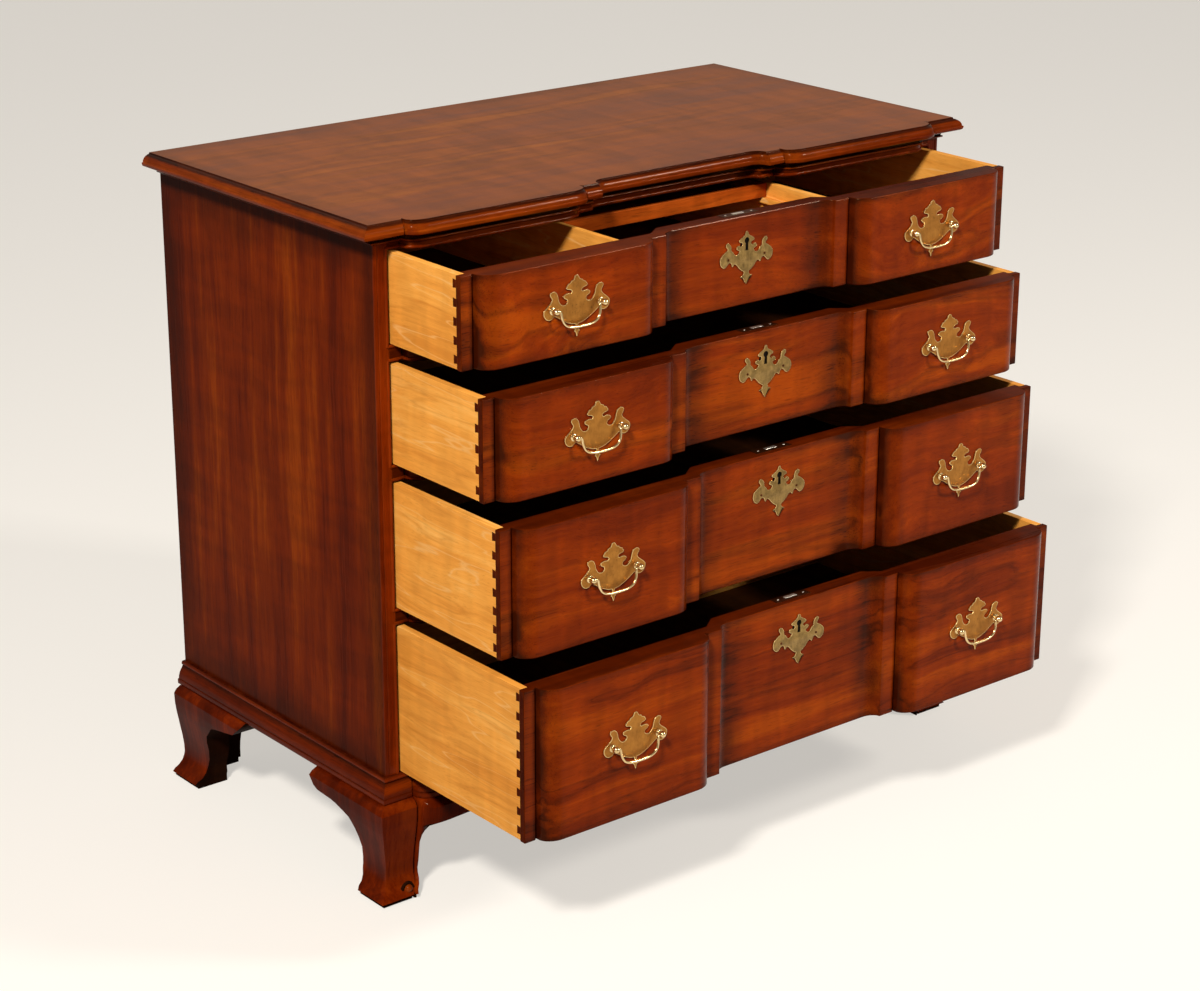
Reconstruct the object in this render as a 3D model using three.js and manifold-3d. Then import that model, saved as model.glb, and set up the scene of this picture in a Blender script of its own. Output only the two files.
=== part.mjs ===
// Block front chest of four drawers, in millimetres, +Z up, the drawers facing -Y.
// The origin is on the floor, in the middle of the box round the chest with its drawers as set here.
import * as THREE from 'three';
import { mergeVertices } from 'three/addons/utils/BufferGeometryUtils.js';
import Module from 'manifold-3d';

// Case
const caseWidth = 1000;
const caseDepth = 511.8;
const sideThickness = 21.6;
const backThickness = 12;
const footHeight = 140.2;
const baseHeight = 34.2;
const baseReach = 14.1;
const bladeThickness = 23;
const bladeDepth = 62;
const dustThickness = 9;
const railThickness = 10.3;

// Top board
const topThickness = 29.8;
const topSideReach = 28;
const topFrontReach = 24;
const topBlockProud = 14;
const topRecess = 19;

// Blocked contour, shared by the drawers, the blades between them and the mouldings
const centreHalf = 128;
const coveWidth = 21;
const innerStrip = 28;
const endStrip = 20.4;
const ovoloWidth = 26;
const blockProud = 20;
const recess = 13;
const quirkWidth = 3;
const quirkDepth = 4;
const mouldedShift = 8;
const ovoloSteps = 8;
const coveSteps = 6;

// Drawers, from the top one down: front height and how far each one stands open
const drawerHeights = [120.9, 134.7, 173.1, 209.7];
const drawerOpenings = [152.8, 194.5, 226.8, 273];
const drawerSideGap = 1;
const drawerFootGap = 0.6;
const drawerHeadGap = 2.2;
const drawerDepth = 470;
const frontThickness = 19.5;
const centreThickness = 37;
const centreRampStart = 137;
const centreRampWidth = 23;
const lapThickness = 10;
const drawerSideThickness = 11;
const drawerSideInset = 2.5;
const drawerBackThickness = 11;
const bottomLift = 10;
const bottomThickness = 7;
const jointGap = 0.3;

// Handles
const handleOffset = 314;
const plateHalfWidth = 53.5;
const plateHalfHeight = 40.4;
const plateThickness = 2.2;
const postOffset = 38.5;
const postBaseRadius = 5.6;
const postNeckRadius = 3.1;
const postHeadRadius = 5;
const postReach = 7;
const postSides = 8;
const boreSides = 8;
const bailRadius = 1.7;
const bailDrop = 23.5;
const bailBow = 3;
const bailSides = 6;
const bailSteps = 30;
const bailClearance = 0.4;

// Escutcheons and locks
const escutcheonHalfWidth = 46.8;
const escutcheonRise = 38.3;
const escutcheonBelowEdge = 20.5;
const escutcheonThickness = 1.8;
const keyholeRadius = 3.2;
const keyholeSlotHalf = 1.7;
const keyholeRise = 25.5;
const keyholeDrop = 13;
const barrelRadius = 10;
const keyholeDepth = 14;
const keyholeSides = 8;
const lockWidth = 62;
const lockHeight = 44;
const lockThickness = 12;
const selvageThickness = 2;
const selvageWidth = 15;
const boltWidth = 20;
const boltThickness = 6;
const boltHeight = 18;
const boltTravel = 8;
const boltClearance = 0.4;

// Fittings of the top drawer
const partitionOffset = 182;
const partitionThickness = 8;
const partitionBelowEdge = 12;
const trayHeight = 20;
const trayDepth = 190;
const traySetback = 172;
const trayWall = 7;
const trayFloor = 4;
const trayClearance = 0.6;
const ledgeWidth = 8;
const ledgeHeight = 8;

// Feet
const footFlare = 34;
const sideWing = 150;
const frontWing = 176;
const rearWing = 177;
const rearBracket = 96;
const rearInset = 6;
const footThickness = 20;

// One overrun for every cut
const overrun = 1;

const colours = {
  mahogany: { color: 0x7a3312, roughness: 0.32, metalness: 0 },
  top: { color: 0x8a5230, roughness: 0.3, metalness: 0 },
  front: { color: 0x94411a, roughness: 0.32, metalness: 0 },
  maple: { color: 0xe3a964, roughness: 0.55, metalness: 0 },
  brass: { color: 0xa4843c, roughness: 0.35, metalness: 0.9 },
  steel: { color: 0xa8a49a, roughness: 0.4, metalness: 0.9 },
};

// Heights and half widths worked out from the sizes above
const caseHalf = caseWidth / 2;
const openingHalf = caseHalf - sideThickness;
const frontHalf = openingHalf - drawerSideGap;
const stripInner = centreHalf + coveWidth;
const blockInner = stripInner + innerStrip;
const blockOuter = frontHalf - endStrip;
const baseTop = footHeight + baseHeight;
const drawerPitchGap = bladeThickness + drawerFootGap + drawerHeadGap;
const drawerCount = drawerHeights.length;
const stackHeight = drawerHeights.reduce((sum, height) => sum + height, 0);
const topDrawerEdge = baseTop + drawerFootGap + stackHeight + (drawerCount - 1) * drawerPitchGap;
const railBottom = topDrawerEdge + drawerHeadGap;
const sideTop = railBottom + railThickness;
const backFront = caseDepth - backThickness;
const sideInner = frontHalf - drawerSideInset - drawerSideThickness;
const lockRear = centreThickness;
const boltMiddle = lockRear - lockThickness / 2;
const keyholeMiddle = (keyholeRise + keyholeDrop) / 2;

// Moulded edges, each row a share of the height and a share of the reach
const topEdgeShares = [
  [0, 0.08], [0.02, 0.17], [0.06, 0.21], [0.1, 0.17], [0.11, 0.1], [0.19, 0.13], [0.27, 0.22],
  [0.33, 0.36], [0.37, 0.56], [0.38, 0.88], [0.42, 0.96], [0.52, 1], [0.57, 1], [0.59, 0.94],
  [0.68, 0.92], [0.77, 0.87], [0.85, 0.78], [0.91, 0.66], [0.93, 0.58], [1, 0.55],
];
const baseEdgeShares = [
  [0, 0.92], [0.03, 0.98], [0.08, 1], [0.2, 1], [0.235, 0.96], [0.24, 0.87], [0.34, 0.85],
  [0.44, 0.79], [0.54, 0.7], [0.63, 0.58], [0.71, 0.45], [0.78, 0.35], [0.82, 0.31], [0.83, 0.4],
  [0.87, 0.45], [0.93, 0.45], [0.97, 0.4], [1, 0.3],
];

// Feet, each row a share of the height, of the flare, and of the wings at the side, front, rear and back
const footShares = [
  [0, 0.85, 0.175, 0.135, 0.36, 0.7],
  [0.05, 0.85, 0.17, 0.135, 0.36, 0.7],
  [0.05, 1, 0.165, 0.135, 0.358, 0.74],
  [0.082, 0.87, 0.19, 0.15, 0.362, 0.74],
  [0.107, 0.68, 0.21, 0.185, 0.37, 0.74],
  [0.15, 0.5, 0.245, 0.208, 0.366, 0.74],
  [0.2, 0.4, 0.278, 0.212, 0.367, 0.745],
  [0.243, 0.36, 0.283, 0.216, 0.375, 0.75],
  [0.32, 0.37, 0.278, 0.222, 0.4, 0.77],
  [0.43, 0.43, 0.268, 0.222, 0.418, 0.8],
  [0.53, 0.51, 0.29, 0.22, 0.418, 0.83],
  [0.61, 0.57, 0.327, 0.23, 0.435, 0.87],
  [0.66, 0.61, 0.36, 0.245, 0.475, 0.89],
  [0.71, 0.65, 0.4, 0.27, 0.515, 0.92],
  [0.74, 0.67, 0.47, 0.33, 0.535, 0.94],
  [0.757, 0.68, 0.52, 0.42, 0.555, 0.95],
  [0.78, 0.69, 0.59, 0.8, 0.615, 0.97],
  [0.795, 0.7, 0.66, 0.93, 0.68, 0.98],
  [0.81, 0.71, 0.88, 1, 0.75, 1],
  [0.843, 0.72, 0.94, 1, 0.89, 1],
  [0.93, 0.735, 1, 1, 0.975, 1],
  [0.97, 0.62, 0.99, 0.99, 1, 1],
  [1, 0.41, 0.985, 0.985, 1, 1],
];

// How much of a front foot's wing past the quirk is taken by its ovolo
const footOvoloShare = 0.9;

// Right half of the handle's plate, from its top point down, in shares of its half width and half height
const plateShares = [
  [0, 1], [0.075, 0.92], [0.15, 0.85], [0.25, 0.79], [0.3, 0.7], [0.26, 0.58], [0.17, 0.535],
  [0.25, 0.465], [0.375, 0.45], [0.43, 0.35], [0.46, 0.225], [0.39, 0.13], [0.525, 0.28],
  [0.545, 0.46], [0.59, 0.57], [0.67, 0.64], [0.76, 0.61], [0.8, 0.53], [0.75, 0.39],
  [0.86, 0.255], [0.955, 0.15], [1, 0.01], [0.98, -0.13], [0.9, -0.24], [0.8, -0.27],
  [0.73, -0.225], [0.67, -0.165], [0.56, -0.225], [0.41, -0.31], [0.27, -0.42], [0.15, -0.51],
  [0.04, -0.56], [0.037, -0.73], [0.093, -0.81], [0.045, -0.83], [0, -1],
];

// Right half of the escutcheon, from its top point down, in shares of its half width and its rise
const escutcheonShares = [
  [0, 1], [0.085, 0.91], [0.17, 0.81], [0.275, 0.67], [0.235, 0.59], [0.16, 0.53], [0.275, 0.45],
  [0.37, 0.385], [0.3, 0.33], [0.235, 0.275], [0.27, 0.19], [0.35, 0.145], [0.45, 0.19],
  [0.52, 0.31], [0.55, 0.51], [0.605, 0.59], [0.685, 0.65], [0.76, 0.615], [0.775, 0.54],
  [0.7, 0.41], [0.83, 0.3], [0.94, 0.18], [1, 0.025], [0.95, -0.155], [0.83, -0.22],
  [0.71, -0.175], [0.635, -0.08], [0.53, -0.245], [0.455, -0.195], [0.36, -0.27], [0.265, -0.36],
  [0.135, -0.5], [0.058, -0.55], [0.07, -0.62], [0.21, -0.665], [0.1, -0.73], [0.065, -0.81],
  [0, -0.94],
];

// Half of the bail's middle line, from the pin in the post to the middle, in shares of its posts and drop
const bailShares = [
  [1.08, 0], [0.95, 0], [0.86, 0], [0.815, -0.08], [0.8, -0.3], [0.77, -0.52], [0.7, -0.73], [0.58, -0.88],
  [0.4, -0.965], [0.2, -0.995], [0, -1],
];

// Post of a handle, from the plate out, in shares of its reach and of the named radii
const postShares = { foot: 0.1, waist: 0.3, shoulder: 0.5, headRows: 5 };

const wasm = await Module();
wasm.setup();

function toSolid(geometry) {
  const bare = geometry.clone();
  bare.deleteAttribute('normal');
  bare.deleteAttribute('uv');
  const merged = mergeVertices(bare);
  return new wasm.Manifold(new wasm.Mesh({
    numProp: 3,
    vertProperties: new Float32Array(merged.attributes.position.array),
    triVerts: new Uint32Array(merged.index.array),
  }));
}

function fromSolid(solid) {
  const mesh = solid.getMesh();
  const geometry = new THREE.BufferGeometry();
  geometry.setAttribute('position', new THREE.BufferAttribute(mesh.vertProperties, 3));
  geometry.setIndex(new THREE.BufferAttribute(mesh.triVerts, 1));
  geometry.computeVertexNormals();
  return geometry;
}

function join(...geometries) {
  const [first, ...rest] = geometries.map(toSolid);
  return fromSolid(rest.reduce((solid, other) => solid.add(other), first));
}

function cut(geometry, ...tools) {
  return fromSolid(tools.map(toSolid).reduce((solid, tool) => solid.subtract(tool), toSolid(geometry)));
}

// A box given by its two corners
function block(low, high) {
  const size = high.map((value, axis) => value - low[axis]);
  const middle = high.map((value, axis) => (value + low[axis]) / 2);
  return new THREE.BoxGeometry(...size).translate(...middle);
}

function shapeOf(points) {
  return new THREE.Shape(points.map(([x, y]) => new THREE.Vector2(x, y)));
}

// A plan outline raised from one height to another
function raise(outline, low, high) {
  const geometry = new THREE.ExtrudeGeometry(shapeOf(outline), { depth: high - low, bevelEnabled: false });
  return geometry.translate(0, 0, low);
}

// A front view outline made into a plate whose back lies at the given y
function plate(shape, thickness, back) {
  const geometry = new THREE.ExtrudeGeometry(shape, { depth: thickness, bevelEnabled: false });
  return geometry.rotateX(Math.PI / 2).translate(0, back, 0);
}

// Levels with equally many points, each with its height, joined into one closed skin
function loft(levels) {
  const count = levels[0].outline.length;
  const positions = levels.flatMap(({ outline, z }) => outline.flatMap(([x, y]) => [x, y, z]));
  const faces = [];
  for (let level = 0; level < levels.length - 1; level += 1) {
    for (let point = 0; point < count; point += 1) {
      const next = (point + 1) % count;
      const low = level * count;
      const high = low + count;
      faces.push(low + point, low + next, high + next);
      faces.push(low + point, high + next, high + point);
    }
  }
  const lid = (level, upward) => {
    const flat = levels[level].outline.map(([x, y]) => new THREE.Vector2(x, y));
    for (const [a, b, c] of THREE.ShapeUtils.triangulateShape(flat, [])) {
      const face = [a, b, c].map((index) => index + level * count);
      faces.push(...(upward ? face : face.reverse()));
    }
  };
  lid(0, false);
  lid(levels.length - 1, true);
  const geometry = new THREE.BufferGeometry();
  geometry.setAttribute('position', new THREE.Float32BufferAttribute(positions, 3));
  geometry.setIndex(faces);
  geometry.computeVertexNormals();
  return geometry;
}

// Quarter of an ellipse, rising from the strip to the block or from the recess to the strip
function quarter(steps, place) {
  return Array.from({ length: steps + 1 }, (_, step) => place((step / steps) * (Math.PI / 2)));
}

// Right half of the blocked contour as x and how far it stands proud of the strips
function halfContour({ end, outer, proud, hollow }) {
  const inner = blockInner;
  const cove = quarter(coveSteps, (a) => [centreHalf + coveWidth * Math.sin(a), -hollow * Math.cos(a)]);
  const rise = quarter(ovoloSteps, (a) => [inner + ovoloWidth * (1 - Math.cos(a)), proud * Math.sin(a)]);
  const fall = quarter(ovoloSteps, (a) => [outer - ovoloWidth * (1 - Math.cos(a)), proud * Math.sin(a)]);
  return [
    ...cove,
    [inner - quirkWidth, 0],
    [inner, -quirkDepth],
    ...rise.slice(1),
    ...fall.slice(1).reverse(),
    [outer, -quirkDepth],
    [outer + quirkWidth, 0],
    [end, 0],
  ];
}

// Whole contour from left to right, its strips at the given y
function frontContour({ end, face, outer = blockOuter, proud = blockProud, hollow = recess }) {
  const half = halfContour({ end, outer, proud, hollow });
  const right = half.map(([x, out]) => [x, face - out]);
  const left = right.map(([x, y]) => [-x, y]).reverse();
  return [...left, ...right];
}

// Plan of a moulded board: blocked in front, straight at the sides and back
function mouldedPlan(share, { sideReach, frontReach, proud, hollow }) {
  const mix = (from, to) => from + (to - from) * share;
  const end = caseHalf + sideReach * share;
  const contour = frontContour({
    end,
    face: -frontReach * share,
    outer: blockOuter + mouldedShift * share,
    proud: mix(blockProud, proud),
    hollow: mix(recess, hollow),
  });
  return [...contour, [end, caseDepth], [-end, caseDepth]];
}

function mouldedBoard(edgeShares, bottom, height, reach) {
  return loft(edgeShares.map(([zShare, reachShare]) => ({
    z: bottom + height * zShare,
    outline: mouldedPlan(reachShare, reach),
  })));
}

const chest = new THREE.Group();

function add(parent, name, geometry, colour) {
  const mesh = new THREE.Mesh(geometry, new THREE.MeshStandardMaterial(colours[colour]));
  mesh.name = name;
  parent.add(mesh);
  return mesh;
}

// Slot in the underside of a rail or blade that takes the bolt of the drawer below it
function boltMortise(underside) {
  const half = boltWidth / 2 + 2 * boltClearance;
  const reach = boltThickness / 2 + 2 * boltClearance;
  const depth = boltTravel - drawerHeadGap + 2 * boltClearance;
  return block(
    [-half, boltMiddle - reach, underside - overrun],
    [half, boltMiddle + reach, underside + depth],
  );
}

function addCase(parent) {
  const topReach = {
    sideReach: topSideReach,
    frontReach: topFrontReach,
    proud: topBlockProud,
    hollow: topRecess,
  };
  add(parent, 'top', mouldedBoard(topEdgeShares, sideTop, topThickness, topReach), 'top');

  const reach = { sideReach: baseReach, frontReach: baseReach, proud: blockProud, hollow: recess };
  add(parent, 'base_frame', mouldedBoard(baseEdgeShares, footHeight, baseHeight, reach), 'mahogany');

  for (const [name, side] of [['side_left', -1], ['side_right', 1]]) {
    const faces = [side * openingHalf, side * caseHalf];
    faces.sort((a, b) => a - b);
    const board = block([faces[0], 0, baseTop], [faces[1], caseDepth, sideTop]);
    add(parent, name, board, 'mahogany');
  }

  const back = block([-openingHalf, backFront, baseTop], [openingHalf, caseDepth, sideTop]);
  add(parent, 'back_board', back, 'mahogany');

  const contour = frontContour({ end: openingHalf, face: 0 });
  const plan = [...contour, [openingHalf, bladeDepth], [-openingHalf, bladeDepth]];
  const rail = cut(raise(plan, railBottom, sideTop), boltMortise(railBottom));
  add(parent, 'top_rail', rail, 'front');

  let edge = topDrawerEdge;
  for (let index = 0; index < drawerCount - 1; index += 1) {
    const bladeTop = edge - drawerHeights[index] - drawerFootGap;
    const bladeBottom = bladeTop - bladeThickness;
    const blade = raise(plan, bladeBottom, bladeTop);
    const dust = block(
      [-openingHalf, bladeDepth - overrun, bladeTop - dustThickness],
      [openingHalf, backFront, bladeTop],
    );
    const divider = cut(join(blade, dust), boltMortise(bladeBottom));
    add(parent, `divider_${index + 1}`, divider, 'front');
    edge = bladeBottom - drawerHeadGap;
  }
}

// L shaped plan of a front foot at one height, its corner at the front left of the case
function frontFootPlan(flare, side, front) {
  const quirk = Math.min(caseHalf - blockOuter - mouldedShift, front - quirkWidth);
  const width = Math.min(ovoloWidth, (front - quirk) * footOvoloShare);
  const rise = blockProud * (width / ovoloWidth);
  const face = (along, out) => [-caseHalf + along, -flare - out];
  const blockSide = quarter(ovoloSteps, (a) => face(quirk + width * (1 - Math.cos(a)), rise * Math.sin(a)));
  return [
    [-caseHalf - flare, -flare],
    face(quirk - quirkWidth, 0),
    face(quirk, -quirkDepth),
    ...blockSide.slice(1),
    face(front, rise),
    [-caseHalf + front, footThickness],
    [-caseHalf + footThickness, footThickness],
    [-caseHalf + footThickness, side],
    [-caseHalf - flare, side],
  ];
}

// L shaped plan of a rear foot at one height, its corner at the rear left of the case
function rearFootPlan(flare, side, across) {
  const rear = caseDepth - rearInset;
  return [
    [-caseHalf - flare, rear - side],
    [-caseHalf + footThickness, rear - side],
    [-caseHalf + footThickness, rear - footThickness],
    [-caseHalf + across, rear - footThickness],
    [-caseHalf + across, rear],
    [-caseHalf - flare, rear],
  ];
}

function addFeet(parent) {
  const levels = (plan) => footShares.map(([zShare, flare, side, front, rear, across]) => ({
    z: footHeight * zShare,
    outline: plan(footFlare * flare, { side, front, rear, across }),
  }));
  const frontPlan = (flare, wing) => frontFootPlan(flare, sideWing * wing.side, frontWing * wing.front);
  const rearPlan = (flare, wing) => rearFootPlan(flare, rearWing * wing.rear, rearBracket * wing.across);
  for (const [place, plan] of [['front', frontPlan], ['rear', rearPlan]]) {
    const left = loft(levels(plan));
    add(parent, `foot_${place}_left`, left, 'mahogany');
    add(parent, `foot_${place}_right`, mirrored(left), 'mahogany');
  }
}

// The same piece for the other side of the chest
function mirrored(geometry) {
  const copy = geometry.clone().scale(-1, 1, 1);
  const index = copy.index.array;
  for (let face = 0; face < index.length; face += 3) {
    [index[face], index[face + 1]] = [index[face + 1], index[face]];
  }
  copy.computeVertexNormals();
  return copy;
}

// Rear line of a drawer front from right to left, with the laps that cover the drawer's sides
function frontRear(setback) {
  const rabbet = sideInner;
  const half = [
    [centreRampStart, centreThickness + setback],
    [centreRampStart + centreRampWidth, frontThickness + setback],
    [rabbet, frontThickness + setback],
    [rabbet, lapThickness],
    [frontHalf, lapThickness],
  ];
  const left = half.map(([x, y]) => [-x, y]);
  return { right: half.slice().reverse(), left };
}

function outlineFromHalf(shares, halfWidth, height) {
  const right = shares.map(([x, z]) => [x * halfWidth, z * height]);
  const left = right.slice(1, -1).reverse().map(([x, z]) => [-x, z]);
  return shapeOf([...right, ...left]);
}

// Turned post on the axis towards -Y, its foot on the plate
function post() {
  const pivot = postReach;
  const head = Array.from({ length: postShares.headRows + 1 }, (_, row) => {
    const start = Math.asin(postNeckRadius / postHeadRadius);
    const angle = start + (row / postShares.headRows) * (Math.PI - start);
    return new THREE.Vector2(postHeadRadius * Math.sin(angle), pivot - postHeadRadius * Math.cos(angle));
  });
  head[head.length - 1].x = 0;
  const profile = [
    new THREE.Vector2(0, -plateThickness / 2),
    new THREE.Vector2(postBaseRadius, -plateThickness / 2),
    new THREE.Vector2(postBaseRadius, postReach * postShares.foot),
    new THREE.Vector2(postNeckRadius, postReach * postShares.waist),
    ...head,
  ];
  return new THREE.LatheGeometry(profile, postSides).rotateX(Math.PI);
}

// Plate with its two posts, its back at y zero and the posts bored for the bail
function handlePlate() {
  const outline = outlineFromHalf(plateShares, plateHalfWidth, plateHalfHeight);
  const face = plate(outline, plateThickness, 0);
  const posts = [-1, 1].map((side) => post().translate(side * postOffset, -plateThickness, 0));
  const bore = new THREE.CylinderGeometry(
    bailRadius + bailClearance,
    bailRadius + bailClearance,
    2 * (postOffset + postHeadRadius + overrun),
    boreSides,
  ).rotateZ(Math.PI / 2).translate(0, -plateThickness - postReach, 0);
  return cut(join(face, ...posts), bore);
}

// Bail hanging from its pivot, which is at the local origin, and bowed out towards its middle
function bail() {
  const right = bailShares.map(([x, z]) => new THREE.Vector3(x * postOffset, z * bailBow, z * bailDrop));
  const left = right.slice(0, -1).map((point) => new THREE.Vector3(-point.x, point.y, point.z));
  const line = new THREE.CatmullRomCurve3([...left, ...right.slice().reverse()], false, 'centripetal');
  const ring = Array.from({ length: bailSides }, (_, side) => {
    const angle = (side / bailSides) * 2 * Math.PI;
    return [bailRadius * Math.cos(angle), bailRadius * Math.sin(angle)];
  });
  const settings = { steps: bailSteps, extrudePath: line, bevelEnabled: false };
  return new THREE.ExtrudeGeometry(shapeOf(ring), settings);
}

// Keyhole: a round head above a slot
function keyholeShape() {
  const start = Math.asin(keyholeSlotHalf / keyholeRadius);
  const head = Array.from({ length: keyholeSides + 1 }, (_, step) => {
    const angle = -Math.PI / 2 + start + (step / keyholeSides) * 2 * (Math.PI - start);
    return [keyholeRadius * Math.cos(angle), keyholeRise + keyholeRadius * Math.sin(angle)];
  });
  return shapeOf([...head, [-keyholeSlotHalf, keyholeDrop], [keyholeSlotHalf, keyholeDrop]]);
}

// Lock and escutcheon of a drawer whose top edge is at the given height, in the drawer's own frame
function lockGeometry(height) {
  const middle = height - escutcheonBelowEdge - escutcheonRise;
  const face = recess;
  const outline = outlineFromHalf(escutcheonShares, escutcheonHalfWidth, escutcheonRise);
  const front = plate(outline, escutcheonThickness, face).translate(0, 0, middle);
  const half = lockWidth / 2;
  const caseFront = lockRear - lockThickness;
  const body = block([-half, caseFront, height - lockHeight], [half, lockRear, height]);
  const selvage = block(
    [-half, lockRear - selvageWidth, height - selvageThickness],
    [half, lockRear, height],
  );
  const barrelLength = caseFront - face + 2 * overrun;
  const barrel = new THREE.CylinderGeometry(barrelRadius, barrelRadius, barrelLength, postSides)
    .translate(0, face - overrun + barrelLength / 2, middle + keyholeMiddle);
  const keyholeBack = face - escutcheonThickness - overrun + keyholeDepth;
  const keyhole = plate(keyholeShape(), keyholeDepth, keyholeBack).translate(0, 0, middle);
  const pocketHalf = boltWidth / 2 + boltClearance;
  const pocketReach = boltThickness / 2 + boltClearance;
  const pocket = block(
    [-pocketHalf, boltMiddle - pocketReach, height - boltHeight - boltClearance],
    [pocketHalf, boltMiddle + pocketReach, height + overrun],
  );
  return cut(join(front, body, selvage, barrel), keyhole, pocket);
}

// Room in the drawer front for the lock's case, selvage and barrel
function lockRoom(height) {
  const middle = height - escutcheonBelowEdge - escutcheonRise;
  const half = lockWidth / 2 + jointGap;
  const caseFront = lockRear - lockThickness - jointGap;
  const body = block(
    [-half, caseFront, height - lockHeight - jointGap],
    [half, lockRear + overrun, height + overrun],
  );
  const selvage = block(
    [-half, lockRear - selvageWidth - jointGap, height - selvageThickness - jointGap],
    [half, lockRear + overrun, height + overrun],
  );
  const length = lockRear - recess + 2 * overrun;
  const radius = barrelRadius + jointGap;
  const barrel = new THREE.CylinderGeometry(radius, radius, length, postSides)
    .translate(0, recess - overrun + length / 2, middle + keyholeMiddle);
  return [body, selvage, barrel];
}

function addDrawer(parent, number, height, opening, floor) {
  const drawer = new THREE.Group();
  drawer.position.set(0, -opening, floor);
  parent.add(drawer);
  const name = (piece) => `drawer_${number}_${piece}`;

  const rear = frontRear(0);
  const plan = [...frontContour({ end: frontHalf, face: 0 }), ...rear.right, ...rear.left];
  add(drawer, name('front'), cut(raise(plan, 0, height), ...lockRoom(height)), 'front');

  for (const [side, direction] of [['side_left', -1], ['side_right', 1]]) {
    const faces = [direction * (sideInner + jointGap), direction * (sideInner + drawerSideThickness)];
    faces.sort((a, b) => a - b);
    const board = block([faces[0], lapThickness + jointGap, 0], [faces[1], drawerDepth, height]);
    add(drawer, name(side), board, 'maple');
  }

  const backFace = drawerDepth - drawerBackThickness;
  const panelTop = bottomLift + bottomThickness;
  const back = block([-sideInner, backFace, panelTop], [sideInner, drawerDepth, height]);
  add(drawer, name('back'), back, 'maple');

  const clear = frontRear(jointGap);
  const panelFront = [...clear.left.slice(0, 3).reverse(), ...clear.right.slice(-3).reverse()];
  const panel = [...panelFront, [sideInner, drawerDepth], [-sideInner, drawerDepth]];
  add(drawer, name('bottom'), raise(panel, bottomLift, panelTop), 'maple');

  add(drawer, name('lock'), lockGeometry(height), 'brass');
  const bolt = block(
    [-boltWidth / 2, boltMiddle - boltThickness / 2, height - boltHeight],
    [boltWidth / 2, boltMiddle + boltThickness / 2, height],
  );
  add(drawer, name('lock_bolt'), bolt, 'steel');

  const plateBack = -blockProud;
  for (const [side, direction] of [['left', -1], ['right', 1]]) {
    const mounted = add(drawer, name(`plate_${side}`), handlePlate(), 'brass');
    mounted.position.set(direction * handleOffset, plateBack, height / 2);
    const hung = add(drawer, name(`bail_${side}`), bail(), 'brass');
    hung.position.set(direction * handleOffset, plateBack - plateThickness - postReach, height / 2);
  }
  return drawer;
}

// Partitions with ledges, and the shallow tray that slides on them
function addFittings(drawer, height) {
  const floor = bottomLift + bottomThickness;
  const top = height - partitionBelowEdge;
  const trayBottom = top - trayHeight;
  const length = drawerDepth - drawerBackThickness - frontThickness - 2 * jointGap;
  for (const [side, direction] of [['partition_left', -1], ['partition_right', 1]]) {
    const inner = direction * partitionOffset;
    const outer = direction * (partitionOffset + partitionThickness);
    const shelf = direction * (partitionOffset - ledgeWidth);
    const profile = [
      [inner, floor], [outer, floor], [outer, top], [inner, top],
      [inner, trayBottom - jointGap], [shelf, trayBottom - jointGap],
      [shelf, trayBottom - jointGap - ledgeHeight], [inner, trayBottom - jointGap - ledgeHeight],
    ];
    const shape = new THREE.Shape(profile.map(([x, z]) => new THREE.Vector2(x, z)));
    const board = new THREE.ExtrudeGeometry(shape, { depth: length, bevelEnabled: false })
      .rotateX(Math.PI / 2)
      .translate(0, frontThickness + jointGap + length, 0);
    add(drawer, `drawer_1_${side}`, board, 'maple');
  }

  const half = partitionOffset - trayClearance;
  const outside = block([-half, traySetback, trayBottom], [half, traySetback + trayDepth, top]);
  const inside = block(
    [-half + trayWall, traySetback + trayWall, trayBottom + trayFloor],
    [half - trayWall, traySetback + trayDepth - trayWall, top + overrun],
  );
  add(drawer, 'drawer_1_tray', cut(outside, inside), 'front');
}

function addDrawers(parent) {
  let edge = topDrawerEdge;
  for (let index = 0; index < drawerCount; index += 1) {
    const height = drawerHeights[index];
    const floor = edge - height;
    const drawer = addDrawer(parent, index + 1, height, drawerOpenings[index], floor);
    if (index === 0) {
      addFittings(drawer, height);
    }
    edge = floor - drawerPitchGap;
  }
}

addCase(chest);
addFeet(chest);
addDrawers(chest);

// The footprint's middle goes to the origin
const footprint = new THREE.Box3().setFromObject(chest, true);
const shift = (footprint.min.y + footprint.max.y) / 2;
for (const child of chest.children) {
  child.position.y -= shift;
}

export default chest;
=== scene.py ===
# Block front chest of drawers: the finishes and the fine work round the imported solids.
import math

import bpy
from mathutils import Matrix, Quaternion, Vector


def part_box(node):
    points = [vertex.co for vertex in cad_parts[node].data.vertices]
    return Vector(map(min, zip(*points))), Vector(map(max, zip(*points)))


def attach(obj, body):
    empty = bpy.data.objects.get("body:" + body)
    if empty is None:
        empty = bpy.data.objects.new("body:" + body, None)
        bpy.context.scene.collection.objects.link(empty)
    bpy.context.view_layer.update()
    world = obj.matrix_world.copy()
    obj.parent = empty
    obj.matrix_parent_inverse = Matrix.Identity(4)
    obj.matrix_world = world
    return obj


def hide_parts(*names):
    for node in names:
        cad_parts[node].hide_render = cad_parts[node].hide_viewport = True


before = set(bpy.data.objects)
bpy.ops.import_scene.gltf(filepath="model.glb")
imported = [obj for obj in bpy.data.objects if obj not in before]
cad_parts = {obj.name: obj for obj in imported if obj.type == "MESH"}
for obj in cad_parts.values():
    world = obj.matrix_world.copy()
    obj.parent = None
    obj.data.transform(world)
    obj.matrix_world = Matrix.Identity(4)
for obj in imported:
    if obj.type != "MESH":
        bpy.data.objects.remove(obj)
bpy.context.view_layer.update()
case_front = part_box("side_left")[0].y

MM = 0.001

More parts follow.
